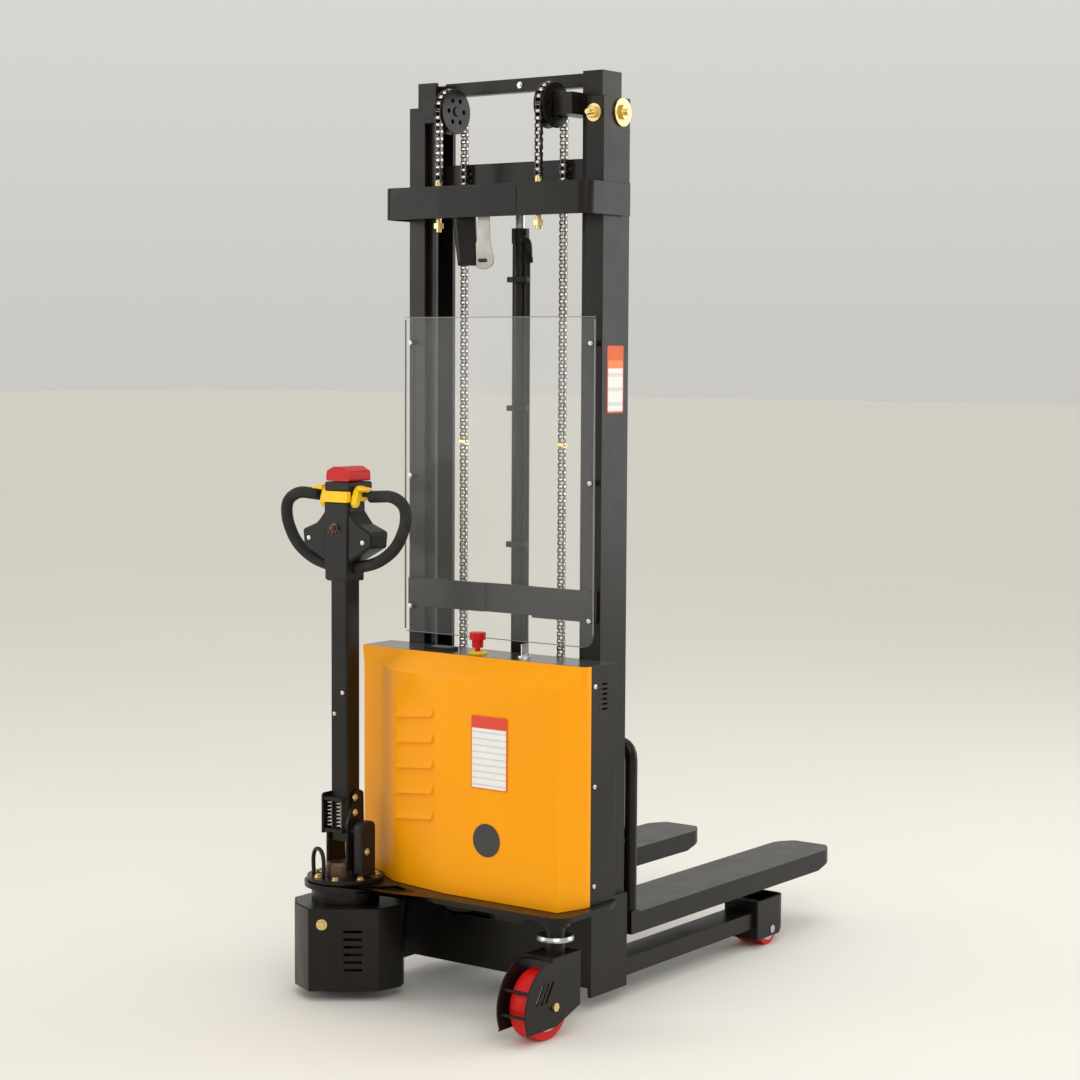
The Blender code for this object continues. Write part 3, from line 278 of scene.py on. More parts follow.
def paint(key):
    """The finish of that name, made once."""
    if key in PALETTE:
        return PALETTE[key]
    look = bpy.context.scene.stacker_finish
    makers = {
        "satin_black": lambda: powder_coat("satin_black_coat", look.frame),
        "cover_yellow": lambda: gloss_paint("cover_enamel", look.cover),
        "bright_steel": lambda: bare_metal("bright_steel_turned", (0.56, 0.56, 0.55), 0.26),
        "zinc_yellow": lambda: bare_metal("yellow_zinc_plate", (0.80, 0.60, 0.26), 0.30, (1, 1, 1), 240.0),
        "bright_zinc": lambda: bare_metal("bright_zinc_plate", (0.72, 0.71, 0.66), 0.28, (1, 1, 1), 240.0),
        # painted reflection: light metal grey for the hanger plate, standing in for the glossy reflection seen on it
        "painted_reflection_sheet": lambda: bare_metal("hanger_plate_painted_reflection", (0.40, 0.385, 0.35), 0.45, (1, 1, 1), 240.0),
        "chain_steel": lambda: oiled_chain("oiled_chain_steel", (0.30, 0.275, 0.24)),
        "clear_sheet": lambda: clear_sheet("guard_polycarbonate", (0.86, 0.88, 0.88)),
        # painted edge line on the guard border; the same grey also serves as the gauge window's dark glass
        "painted_edge_and_window_grey": lambda: moulded("painted_edge_line_and_gauge_window", (0.22, 0.225, 0.22), 0.22, 900.0),
        "red_poly": lambda: urethane("red_urethane", look.wheel),
        "red_plastic": lambda: moulded("red_moulding", (0.55, 0.003, 0.003), 0.34),
        "black_rubber": lambda: rubber("black_rubber_grip", (0.014, 0.0135, 0.013)),
        "black_plastic": lambda: moulded("black_moulding", (0.014, 0.0132, 0.0125), 0.42),
        "dark_link": lambda: oiled_chain("dark_link_steel", (0.14, 0.13, 0.12)),
        "bright_link": lambda: bare_metal("bright_link_steel", (0.66, 0.63, 0.57), 0.24, (1, 1, 1), 400.0),
        "yellow_plastic": lambda: moulded("yellow_moulding", look.accent, 0.34),
        "battery_grey": lambda: moulded("battery_case", (0.09, 0.09, 0.10), 0.6),
        "iron_brown": lambda: bare_metal("phosphated_iron", (0.16, 0.10, 0.08), 0.5, (1, 1, 1)),
        "gloss_black": lambda: moulded("gloss_black_panel", (0.05, 0.05, 0.05), 0.10, 900.0),
        "blank_label": lambda: printed_film("blank_operator_label", (0.86, 0.85, 0.83), (0.75, 0.05, 0.02), 3.4),
        "mast_label": lambda: printed_film("blank_mast_label", (0.85, 0.84, 0.82), (0.85, 0.20, 0.02), 1.1),
        "label_border": lambda: moulded("label_border_print", (0.80, 0.13, 0.02), 0.4, 900.0),
    }
    PALETTE[key] = makers[key]()
    return PALETTE[key]


# ------------------------------------------------------------------ shapes
def solid(name, bm, key, body=None, smooth=35.0, edge=0.0, segments=2):
    """A named piece from bmesh, shaded, edge-rounded and riding on its body."""
    bmesh.ops.recalc_face_normals(bm, faces=bm.faces)
    mesh = bpy.data.meshes.new(name)
    bm.to_mesh(mesh)
    bm.free()
    for polygon in mesh.polygons:
        polygon.use_smooth = True
    mesh.set_sharp_from_angle(angle=math.radians(smooth))
    mesh.materials.append(paint(key))
    obj = bpy.data.objects.new(name, mesh)
    bpy.context.scene.collection.objects.link(obj)
    if edge:
        bevel = obj.modifiers.new("rounded edges", "BEVEL")
        bevel.width, bevel.segments, bevel.limit_method = edge, segments, "ANGLE"
        bevel.angle_limit = math.radians(40)
    if body:
        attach(obj, body)
    return obj


def turned_to(axis):
    """Rotation that carries +Z onto the axis."""
    return Vector((0, 0, 1)).rotation_difference(Vector(axis)).to_matrix().to_4x4()


def lathe(profile, centre, axis, steps=28, into=None):
    """Closed profile of (radius, height) points turned about an axis through centre."""
    bm = into or bmesh.new()
    place = Matrix.Translation(centre) @ turned_to(axis)
    rings = []
    for r, h in profile:
        if r < 1e-7:
            rings.append([bm.verts.new(place @ Vector((0, 0, h)))])
        else:
            rings.append([bm.verts.new(place @ Vector((r * math.cos(t), r * math.sin(t), h)))
                          for t in (2 * math.pi * k / steps for k in range(steps))])
    for a, b in zip(rings, rings[1:]):
        for k in range(steps):
            corners = [a[k % len(a)], a[(k + 1) % len(a)], b[(k + 1) % len(b)], b[k % len(b)]]
            corners = list(dict.fromkeys(corners))
            if len(corners) > 2:
                bm.faces.new(corners)
    return bm


def screw_head(centre, axis, r, into=None, h=None):
    """Pan head with a hexagon socket."""
    h = h or r * 0.62
    bm = lathe([(0, 0), (r, 0), (r, h * 0.55), (r * 0.86, h * 0.88), (r * 0.62, h), (r * 0.42, h),
                (r * 0.40, h * 0.45), (0, h * 0.45)], centre, axis, 18, into)
    return bm


def hex_bolt(centre, axis, r, into=None, h=None, washer=True):
    """Hexagon head with a chamfered top on a washer."""
    h = h or r * 0.75
    bm = into or bmesh.new()
    base = 0.0
    if washer:
        lathe([(0, 0), (r * 1.45, 0), (r * 1.45, r * 0.16), (0, r * 0.16)], centre, axis, 24, bm)
        base = r * 0.16 + 1e-5
    lathe([(0, base), (r, base), (r, base + h * 0.86), (r * 0.86, base + h), (0, base + h)], centre, axis, 6, bm)
    return bm


def slab(outline, low, high, axis="Z", into=None):
    """Outline points extruded between two levels along an axis."""
    bm = into or bmesh.new()
    spot = {"Z": lambda p, t: (p[0], p[1], t), "X": lambda p, t: (t, p[0], p[1]),
            "Y": lambda p, t: (p[0], t, p[1])}[axis]
    a = [bm.verts.new(spot(p, low)) for p in outline]
    b = [bm.verts.new(spot(p, high)) for p in outline]
    n = len(a)
    bm.faces.new(a[::-1])
    bm.faces.new(b)
    for i in range(n):
        bm.faces.new((a[i], a[(i + 1) % n], b[(i + 1) % n], b[i]))
    return bm


def rounded_box(x0, x1, z0, z1, r, n=5):
    """Outline of a rectangle with round corners."""
    out = []
    for cx, cz, start in ((x1 - r, z1 - r, 0), (x0 + r, z1 - r, 90), (x0 + r, z0 + r, 180), (x1 - r, z0 + r, 270)):
        out += [(cx + r * math.cos(math.radians(start + 90 * k / n)),
                 cz + r * math.sin(math.radians(start + 90 * k / n))) for k in range(n + 1)]
    return out


def tube(points, r, sides=12, into=None):
    """Round bar or hose swept through points."""
    bm = into or bmesh.new()
    pts = [Vector(p) for p in points]
    side, rings = None, []
    for i, p in enumerate(pts):
        d = (pts[min(i + 1, len(pts) - 1)] - pts[max(i - 1, 0)]).normalized()
        side = d.orthogonal().normalized() if side is None else (side - d * side.dot(d)).normalized()
        up = d.cross(side)
        rings.append([bm.verts.new(p + r * (math.cos(t) * side + math.sin(t) * up))
                      for t in (2 * math.pi * k / sides for k in range(sides))])
    for a, b in zip(rings, rings[1:]):
        for k in range(sides):
            bm.faces.new((a[k], a[(k + 1) % sides], b[(k + 1) % sides], b[k]))
    bm.faces.new(rings[0][::-1])
    bm.faces.new(rings[-1])
    return bm


def smooth_path(points, steps=6):
    """Catmull-Rom curve through route points."""
    p = [Vector(q) for q in points]
    p = [2 * p[0] - p[1]] + p + [2 * p[-1] - p[-2]]
    out = []
    for i in range(1, len(p) - 2):
        for k in range(steps):
            t = k / steps
            out.append(0.5 * (2 * p[i] + (p[i + 1] - p[i - 1]) * t
                              + (2 * p[i - 1] - 5 * p[i] + 4 * p[i + 1] - p[i + 2]) * t * t
                              + (3 * p[i] - p[i - 1] - 3 * p[i + 1] + p[i + 2]) * t ** 3))
    return out + [p[-2]]


def coil(centre, axis, r, wire, length, turns, into=None):
    place = Matrix.Translation(centre) @ turned_to(axis)
    pts = [place @ Vector((r * math.cos(a), r * math.sin(a), length * a / (2 * math.pi * turns)))
           for a in (2 * math.pi * turns * k / (turns * 14) for k in range(turns * 14 + 1))]
    return tube(pts, wire, 8, into)


def link_plate(bm, a, b, x, width, thick):
    """One figure-of-eight side plate between pins a and b, both (y, z)."""
    a, b = Vector(a), Vector(b)
    d = (b - a).normalized()
    n = Vector((-d.y, d.x))
    r = width / 2
    pts = []
    for end, forward in ((b, 1), (a, -1)):
        for k in range(7):
            t = math.radians(-78 + 26 * k)
            pts.append(end + forward * (d * math.cos(t) + n * math.sin(t)) * r)
        m = (a + b) / 2 + forward * n * r * 0.62
        pts.append(m)
    slab([tuple(p) for p in pts], x, x + thick, "X", bm)


def chain_run(name, pins, x, pitch):
    """Leaf and roller chain through pin centres given as (y, z): dark plates, bright pins and rollers."""
    bm = bmesh.new()
    for i, (a, b) in enumerate(zip(pins, pins[1:])):
        off = 0.0056 if i % 2 else 0.0072
        for s in (-1, 1):
            link_plate(bm, a, b, x + s * off - 0.0007, pitch * 0.80, 0.0014)
    plates = len(bm.faces)
    for y, z in pins:
        for r, half in ((0.0024, LINK_HALF), (ROLL_R, 0.0046)):
            lathe([(0, -half), (r, -half), (r, half), (0, half)], (x, y, z), (1, 0, 0), 10, bm)
    bm.faces.ensure_lookup_table()
    for face in bm.faces[plates:]:
        face.material_index = 1
    run = solid(name, bm, "dark_link", smooth=50)
    run.data.materials.append(paint("bright_link"))
    return run


# ------------------------------------------------------------------ operators
class STACKER_OT_finishes(bpy.types.Operator):
    """Give every modelled node its finish and soften its cut edges"""
    bl_idname = "stacker.finishes"
    bl_label = "Finishes"

    own = {"stop_knob": "red_plastic", "belly_button": "red_plastic", "top_panel": "gloss_black",
           "drive_motor": "iron_brown", "horn_button": "black_plastic", "tiller_pin": "bright_zinc",
           "key_switch": "bright_zinc"}

    def execute(self, context):
        slots = {s["node"]: s["material_slot"] for s in FRAME["record"]["subparts"]}
        for name, node in FRAME["nodes"].items():
            node.data.materials.clear()
            node.data.materials.append(paint(self.own.get(name, slots[name])))
            for polygon in node.data.polygons:
                polygon.use_smooth = True
                polygon.material_index = 0
            weld = node.modifiers.new("weld", "WELD")
            weld.merge_threshold = 0.00002
            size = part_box(name)[1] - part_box(name)[0]
            edge = min(context.scene.stacker_sizes.edge, 0.08 * min(size))
            if name == "rear_cover":
                edge = 0.0028 * 0.5
            if name == "drive_wheel":
                edge = 0.005
            if name == "caster_wheel":
                edge = 0.004
            if name == "belly_button":
                edge = 0.0075
            bevel = node.modifiers.new("rounded edges", "BEVEL")
            bevel.width, bevel.segments, bevel.limit_method = edge, 4 if name == "belly_button" else 2, "ANGLE"
            bevel.angle_limit = math.radians(38)
            bevel.harden_normals = False
            soften = node.modifiers.new("even shading", "WEIGHTED_NORMAL")
            soften.keep_sharp = True
            soften.weight = 60
        return {"FINISHED"}


class STACKER_OT_chains(bpy.types.Operator):
    """Build the roller chains from the anchors over the wheels to the carriage"""
    bl_idname = "stacker.chains"
    bl_label = "Lift chains"

    def execute(self, context):
        pitch = context.scene.stacker_sizes.chain_pitch
        for tag, s in SIDES:
            rear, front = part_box("chain_rear_" + tag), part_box("chain_front_" + tag)
            x = middle("chain_rear_" + tag).x
            yr, yf = middle("chain_rear_" + tag).y, middle("chain_front_" + tag).y
            top = front[1].z
            for label, y, z0, z1, bodies in (("rear", yr, rear[0].z, rear[1].z, ("truck", "inner_mast")),
                                             ("front", yf, front[0].z, front[1].z, ("fork_carriage", "inner_mast"))):
                count = max(2, round((z1 - z0) / pitch))
                pins = [(y, z0 + (z1 - z0) * k / count) for k in range(count + 1)]
                run = chain_run(f"lift_chain_{label}_{tag}", pins, x, (z1 - z0) / count)
                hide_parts(f"chain_{label}_{tag}")
                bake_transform(run)
            yc, r = (yr + yf) / 2, (yf - yr) / 2
            count = max(4, round(math.pi * r / pitch))
            pins = [(yc + r * math.cos(math.pi * k / count), top + r * math.sin(math.pi * k / count))
                    for k in range(count + 1)]
            wrap = chain_run("lift_chain_wrap_" + tag, pins, x, pitch)
            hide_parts("chain_wrap_" + tag)
            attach(wrap, "inner_mast")
            clip = slab(rounded_box(yf - 0.0075, yf + 0.0075, 1.250, 1.262, 0.003), x - 0.0075, x + 0.0075, "X")
            clip_piece = solid("chain_clip_" + tag, clip, "zinc_yellow")
            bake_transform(clip_piece)
        return {"FINISHED"}


class STACKER_OT_mast_fittings(bpy.types.Operator):
    """Guard screws and spacers, cylinder hanger, mast bolts and the blank mast label"""
    bl_idname = "stacker.mast_fittings"
    bl_label = "Mast fittings"

    def execute(self, context):
        low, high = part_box("guard_screen")
        head = context.scene.stacker_sizes.screw_head
        rail_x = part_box("mast_outer_r")[1].x - middle("mast_inner").x
        cx = middle("mast_inner").x
        heads, spacers = bmesh.new(), bmesh.new()
        rail_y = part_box("mast_outer_r")[0].y
        for s in (-1, 1):
            for z in (0.872, 1.176, 1.483):
                x = cx + s * (rail_x - 0.018)
                screw_head((x, low.y, z), (0, -1, 0), head, heads)
                lathe([(0, 0), (0.0062, 0), (0.0062, rail_y - high.y), (0, rail_y - high.y)],
                      (x, high.y, z), (0, 1, 0), 16, spacers)
        solid("guard_screws", heads, "bright_zinc", "truck")
        solid("guard_spacers", spacers, "black_rubber", "truck")
        # painted edge line: opaque grey strips along the clear guard's border stand in for the light and shade its cut
        # edges show
        rim = bmesh.new()
        for x0, x1, z0, z1 in ((low.x, high.x, high.z - 0.0016, high.z),
                               (low.x + 0.006, high.x - 0.028, low.z, low.z + 0.0016),
                               (high.x - 0.0016, high.x, low.z + 0.028, high.z - 0.006),
                               (low.x, low.x + 0.0016, low.z + 0.006, high.z - 0.006)):
            slab([(x0, z0), (x1, z0), (x1, z1), (x0, z1)], low.y - 0.0002, high.y + 0.0002, "Y", rim)
        solid("guard_painted_edge_lines", rim, "painted_edge_and_window_grey", "truck")
        # cylinder hanger under the upper beam
        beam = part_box("upper_beam")
        y0 = middle("chain_anchor_l").y
        cyl = middle("lift_cylinder")
        top, drop = beam[0].z + 0.004, 0.120
        web = bmesh.new()
        rows = 9
        left = [(cx - 0.104, y0 + 0.012), (cx - 0.100, y0 - 0.002), (cx - 0.088, y0 - 0.010), (cx - 0.074, y0 - 0.006),
                (cx - 0.058, y0 + 0.006), (cx - 0.044, y0 + 0.010), (cx - 0.044, y0 + 0.014), (cx - 0.060, y0 + 0.012),
                (cx - 0.076, y0 + 0.000), (cx - 0.088, y0 - 0.004), (cx - 0.096, y0 + 0.004), (cx - 0.100, y0 + 0.014)]
        rings = []
        for k in range(rows):
            t = k / (rows - 1)
            pinch = 1 - 0.22 * t
            rings.append([web.verts.new((cx - 0.060 + (x - cx + 0.060) * pinch + 0.008 * t, y,
                                         top - drop * 0.92 * t)) for x, y in left])
        for ra, rb in zip(rings, rings[1:]):
            for k in range(len(left)):
                web.faces.new((ra[k], ra[(k + 1) % len(left)], rb[(k + 1) % len(left)], rb[k]))
        web.faces.new(rings[0][::-1])
        web.faces.new(rings[-1])
        solid("hanger_web", web, "satin_black", "truck", smooth=60)
        bell = [(cx - 0.036, top), (cx - 0.004, top), (cx - 0.002, top - drop * 0.45), (cx + 0.008, top - drop * 0.78)]
        bell += [(cx - 0.021 + 0.029 * math.cos(t), top - drop * 0.82 + drop * 0.17 * math.sin(t))
                 for t in (math.radians(-a) for a in range(12, 169, 12))]
        bell += [(cx - 0.050, top - drop * 0.78), (cx - 0.040, top - drop * 0.45)]
        # painted reflection: the plate's light grey finish stands in for the gloss reflection it shows
        plate = slab(bell, y0 + 0.010, y0 + 0.0145, "Y")
        solid("hanger_plate", plate, "painted_reflection_sheet", "truck", edge=0.001)
        # painted shade: a thin black sheet on the plate stands in for the dark slotted hole through it
        slot_shade_bm = slab(rounded_box(cx - 0.034, cx - 0.010, top - drop * 0.86, top - drop * 0.79, 0.003), y0 + 0.0085,
                       y0 + 0.0101, "Y")
        solid("hanger_slot_painted_shade", slot_shade_bm, "black_plastic", "truck", edge=0.0004)
        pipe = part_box("feed_pipe")
        px, py = pipe[1].x - 0.011, (pipe[0].y + pipe[1].y) / 2
        elbow = lathe([(0, 0), (0.0125, 0), (0.0125, 0.013), (0.0105, 0.014), (0.0105, 0.026), (0, 0.026)],
                      (px, py, pipe[1].z - 0.052), (0, 0, 1), 6)
        tube(smooth_path([(px + 0.002, py, pipe[1].z - 0.036), (px + 0.002, py - 0.002, pipe[1].z - 0.012),
                          (px - 0.006, py - 0.002, pipe[1].z + 0.001), (px - 0.018, py, pipe[1].z + 0.002)]),
             0.0085, 12, elbow)
        solid("pipe_elbow", elbow, "satin_black", "truck", edge=0.0006)
        strapping = bmesh.new()
        for z in (1.02, 1.33, 1.62):
            slab([(cyl.x + 0.027 * math.cos(t) + 0.010, cyl.y + 0.025 * math.sin(t) - 0.004)
                  for t in (2 * math.pi * k / 24 for k in range(24))], z, z + 0.012, "Z", strapping)
        solid("pipe_straps", strapping, "black_plastic", "truck", edge=0.0008)
        # guide bolts on the rear face of the rails, and the framed centre of the beam
        rear = bmesh.new()
        top_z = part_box("mast_outer_r")[1].z
        hex_bolt((cx + rail_x - 0.026, rail_y, top_z - 0.036), (0, -1, 0), 0.0135, rear, 0.010)
        lathe([(0, 0.012), (0.0065, 0.012), (0.0065, 0.026), (0.0055, 0.0275), (0, 0.0275)],
              (cx + rail_x - 0.026, rail_y, top_z - 0.036), (0, -1, 0), 20, rear)
        solid("rail_rear_bolts", rear, "zinc_yellow", "truck")
        inner_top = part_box("mast_inner")[1].z
        bolt = hex_bolt((cx + 0.006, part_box("mast_inner")[0].y + 0.081, inner_top - 0.015), (0, -1, 0), 0.005)
        solid("head_bar_bolt", bolt, "bright_zinc", "inner_mast")
        frame_bm = bmesh.new()
        bx0, bx1, bz0, bz1 = cx - 0.125, cx + 0.095, beam[0].z + 0.006, beam[1].z - 0.006
        slab(rounded_box(bx0, bx1, bz0, bz1, 0.006), beam[0].y - 0.0014, beam[0].y + 0.001, "Y", frame_bm)
        solid("beam_centre_pad", frame_bm, "black_plastic", "truck", edge=0.0006)
        bands = bmesh.new()
        for z in (top_z - 0.073, top_z - 0.185):
            x1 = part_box("mast_outer_r")[1].x
            slab([(x1, rail_y + 0.001), (x1 + 0.0012, rail_y + 0.001), (x1 + 0.0012, rail_y + 0.101),
                  (x1, rail_y + 0.101)], z, z + 0.0022, "Z", bands)
        solid("rail_weld_lines", bands, "satin_black", "truck")
        x1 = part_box("mast_outer_r")[1].x
        label = slab(rounded_box(rail_y + 0.020, rail_y + 0.082, 1.330, 1.478, 0.004), x1, x1 + 0.0005, "X")
        solid("mast_label_border", label, "label_border", "truck")
        film = slab(rounded_box(rail_y + 0.023, rail_y + 0.079, 1.334, 1.446, 0.003), x1 + 0.0004, x1 + 0.0009, "X")
        solid("mast_label_film", film, "mast_label", "truck")
        return {"FINISHED"}


class STACKER_OT_cover_fittings(bpy.types.Operator):
    """Cover screws, blank label, panel switches and gauge"""
    bl_idname = "stacker.cover_fittings"
    bl_label = "Cover fittings"

    def execute(self, context):
        low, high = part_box("rear_cover")
        cx = (low.x + high.x) / 2
        y = low.y
        film = slab(rounded_box(cx + 0.065, cx + 0.165, 0.505, 0.668, 0.005), y + 0.0012, y + 0.0017, "Y")
        solid("operator_label_border", film, "label_border", "truck")
        inner = slab(rounded_box(cx + 0.068, cx + 0.162, 0.508, 0.665, 0.004), y + 0.0006, y + 0.00115, "Y")
        solid("operator_label", inner, "blank_label", "truck")
        disc = lathe([(0, 0), (0.037, 0), (0.037, 0.0006), (0, 0.0006)],
                     (cx + 0.108, y + 0.0016, 0.392), (0, -1, 0), 40)
        solid("round_pad", disc, "gloss_black", "truck")
        screws = bmesh.new()
        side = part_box("side_housing_r")
        for z in (0.300, 0.520, 0.740):
            for s, xx in ((-1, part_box("side_housing_l")[0].x), (1, side[1].x)):
                screw_head((xx, side[0].y + 0.012, z), (s, 0, 0), 0.0055, screws)
        solid("housing_screws", screws, "bright_zinc", "truck")
        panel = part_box("top_panel")
        gauge = slab(rounded_box(cx - 0.145, cx - 0.085, panel[0].y + 0.030, panel[0].y + 0.070, 0.006),
                     panel[1].z - 0.001, panel[1].z + 0.007)
        solid("charge_gauge", gauge, "black_plastic", "truck", edge=0.0015)
        glass = slab(rounded_box(cx - 0.139, cx - 0.091, panel[0].y + 0.035, panel[0].y + 0.065, 0.004),
                     panel[1].z + 0.0068, panel[1].z + 0.0078)
        solid("gauge_window", glass, "painted_edge_and_window_grey", "truck", edge=0.0004)
        knob = middle("stop_knob")
        collar = lathe([(0.0070, 0), (0.022, 0), (0.022, 0.003), (0.015, 0.006), (0.0070, 0.006), (0.0070, 0)],
                       (knob.x, knob.y, panel[1].z), (0, 0, 1), 32)
        solid("stop_collar", collar, "yellow_plastic", "truck")
        key = middle("key_switch")
        rosette = lathe([(0.0098, 0), (0.0155, 0), (0.0150, 0.003), (0.0098, 0.0034), (0.0098, 0)],
                        (key.x, key.y, panel[1].z), (0, 0, 1), 28)
        solid("key_rosette", rosette, "bright_zinc", "truck")
        return {"FINISHED"}


class STACKER_OT_tiller_fittings(bpy.types.Operator):
    """Yellow band, black cap, arm screws, springs, cable boot and flange bolts of the tiller"""
    bl_idname = "stacker.tiller_fittings"
    bl_label = "Tiller fittings"

    def execute(self, context):
        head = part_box("tiller_head")
        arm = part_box("tiller_arm")
        cx, cy = middle("tiller_arm").x, middle("tiller_arm").y
        top = head[1].z
        yr = head[0].y
        band = bmesh.new()
        slab(rounded_box(cx - 0.0365, cx + 0.0365, top - 0.046, top - 0.021, 0.003),
             yr - 0.010, yr + 0.004, "Y", band)
        solid("head_band", band, "yellow_plastic", "tiller", edge=0.0012)
        cap = slab(rounded_box(cx - 0.0365, cx + 0.0365, top - 0.021, top - 0.0003, 0.005),
                   yr - 0.0035, cy + 0.052, "Y")
        solid("head_cap", cap, "black_plastic", "tiller", edge=0.003, segments=3)
        column = slab([(cx - 0.0325, top - 0.222), (cx + 0.0325, top - 0.222), (cx + 0.0345, top - 0.047),
                       (cx - 0.0345, top - 0.047)], yr - 0.007, yr + 0.012, "Y")
        solid("head_column", column, "black_plastic", "tiller", edge=0.003, segments=3)
        cheeks = bmesh.new()
        for s in (-1, 1):
            wing = ((0.034, 0.070), (0.060, 0.094), (0.101, 0.116), (0.099, 0.140), (0.060, 0.165), (0.034, 0.178))
            slab([(cx + s * x, top - z) for x, z in wing], yr - 0.0035, yr + 0.001, "Y", cheeks)
        solid("head_cheeks", cheeks, "black_plastic", "tiller", edge=0.003, segments=3)
        for tag, s in SIDES:
            hy, hz = cy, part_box("throttle_" + tag)[1].z - 0.019
            bm = bmesh.new()
            outline = [(hy + 0.020 * math.cos(math.radians(a)), hz + 0.020 * math.sin(math.radians(a)))
                       for a in range(-20, 171, 10)]
            outline += [(hy - 0.024, hz - 0.006), (hy - 0.027, hz - 0.020), (hy - 0.022, hz - 0.030),
                        (hy - 0.014, hz - 0.026), (hy - 0.008, hz - 0.014), (hy + 0.010, hz - 0.0165)]
            slab([(y, z) for y, z in outline], *sorted((cx + s * 0.0385, cx + s * 0.0545)), "X", bm)
            tab = [(cx + s * 0.052, hz + 0.008), (cx + s * 0.086, hz + 0.011), (cx + s * 0.084, hz + 0.016),
                   (cx + s * 0.052, hz + 0.0205)]
            slab(tab, hy - 0.020, hy - 0.002, "Y", bm)
            piece = solid("thumb_paddle_" + tag, bm, "yellow_plastic", edge=0.0035, segments=3)
            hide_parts("throttle_" + tag)
            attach(piece, "throttle_" + ("left" if s < 0 else "right"))
        screws = bmesh.new()
        for x, z in ((cx - 0.082, top - 0.130), (cx + 0.078, top - 0.134)):
            screw_head((x, yr - 0.0035, z), (0, -1, 0), 0.0058, screws)
        for z in (0.690, 0.640):
            s = 1 if z > 0.66 else -1
            screw_head((cx + s * 0.012, arm[0].y, z), (0, -1, 0), 0.0052, screws)
        solid("tiller_screws", screws, "bright_zinc", "tiller")
        plug = lathe([(0, 0), (0.011, 0), (0.011, 0.003), (0.007, 0.004), (0.0068, 0.010), (0.004, 0.011),
                      (0.004, 0.015), (0, 0.015)], (cx - 0.002, yr - 0.007, top - 0.104), (0, -1, 0), 24)
        for dx, dz in ((-0.019, -0.014), (-0.010, -0.017), (0.012, -0.010)):
            screw_head((cx + dx, yr - 0.007, top - 0.100 + dz), (0, -1, 0), 0.0034, plug)
        solid("head_connector", plug, "iron_brown", "tiller")
        collar = slab(rounded_box(cx - 0.032, cx + 0.032, arm[1].z - 0.012, arm[1].z + 0.014, 0.004),
                      arm[0].y - 0.006, arm[1].y + 0.006, "Y")
        solid("neck_collar", collar, "black_plastic", "tiller", edge=0.002)
        pivot = middle("tiller_pin")
        springs = bmesh.new()
        for x in (cx - 0.017, cx + 0.010):
            coil((x, arm[0].y - 0.010, pivot.z + 0.010), (0, 0, 1), 0.006, 0.0013, 0.060, 7, springs)
        solid("latch_springs", springs, "bright_zinc", "tiller", smooth=60)
        saddle = bmesh.new()
        slab([(cx - 0.030, pivot.z), (cx + 0.024, pivot.z), (cx + 0.024, pivot.z + 0.008), (cx - 0.030, pivot.z + 0.008)],
             arm[0].y - 0.018, arm[0].y + 0.001, "Y", saddle)
        slab([(cx - 0.030, pivot.z + 0.072), (cx + 0.024, pivot.z + 0.072), (cx + 0.024, pivot.z + 0.080),
              (cx - 0.030, pivot.z + 0.080)], arm[0].y - 0.018, arm[0].y + 0.001, "Y", saddle)
        slab([(cx - 0.036, pivot.z - 0.004), (cx - 0.0302, pivot.z - 0.004), (cx - 0.0302, pivot.z + 0.090),
              (cx - 0.036, pivot.z + 0.084)], arm[0].y - 0.020, arm[0].y + 0.014, "Y", saddle)
        solid("latch_bracket", saddle, "satin_black", "tiller", edge=0.0008)
        disc_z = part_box("drive_head")[1].z
        nuts = bmesh.new()
        for a in (200, 248, 292, 340, 40, 140):
            t = math.radians(a)
            hex_bolt((cx + 0.070 * math.cos(t), cy + 0.070 * math.sin(t), disc_z), (0, 0, 1), 0.0072, nuts)
        solid("flange_bolts", nuts, "zinc_yellow", "drive_unit")
        arch = tube(smooth_path([(cx - 0.056, cy - 0.046, disc_z), (cx - 0.057, cy - 0.046, disc_z + 0.040),
                                 (cx - 0.046, cy - 0.050, disc_z + 0.060), (cx - 0.026, cy - 0.056, disc_z + 0.060),
                                 (cx - 0.014, cy - 0.060, disc_z + 0.040), (cx - 0.014, cy - 0.060, disc_z)]), 0.0048)
        solid("cable_arch", arch, "satin_black", "drive_unit")
        boss = lathe([(0.0, 0), (0.030, 0), (0.030, 0.026), (0.025, 0.033), (0, 0.033)],
                     (cx, cy - 0.022, disc_z), (0, 0, 1), 30)
        solid("spring_boss", boss, "iron_brown", "drive_unit")
        boot = bmesh.new()
        slab(rounded_box(cy - 0.022, cy + 0.030, disc_z + 0.001, disc_z + 0.128, 0.014),
             cx + 0.041, cx + 0.066, "X", boot)
        solid("plug_housing", boot, "black_plastic", "drive_unit", edge=0.005, segments=3)
        side_bolts = bmesh.new()
        for z in (pivot.z + 0.045, pivot.z + 0.080):
            hex_bolt((cx + 0.032, cy - 0.004, z), (1, 0, 0), 0.0055, side_bolts)
        hex_bolt((cx + 0.066, cy - 0.002, disc_z + 0.060), (1, 0, 0), 0.0055, side_bolts)
        solid("bracket_bolts", side_bolts, "bright_zinc", "drive_unit")
        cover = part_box("drive_cover")
        a = Vector((cx + 0.010, cy - 0.139))
        b = Vector((cx + 0.135, cy - 0.043))
        d = (b - a).normalized()
        n = Vector((d.y, -d.x))
        spot = a + d * 0.030
        solid("drive_cover_bolt", hex_bolt((spot.x, spot.y, cover[1].z - 0.034), (n.x, n.y, 0), 0.0085), "zinc_yellow",
              "drive_unit")
        return {"FINISHED"}


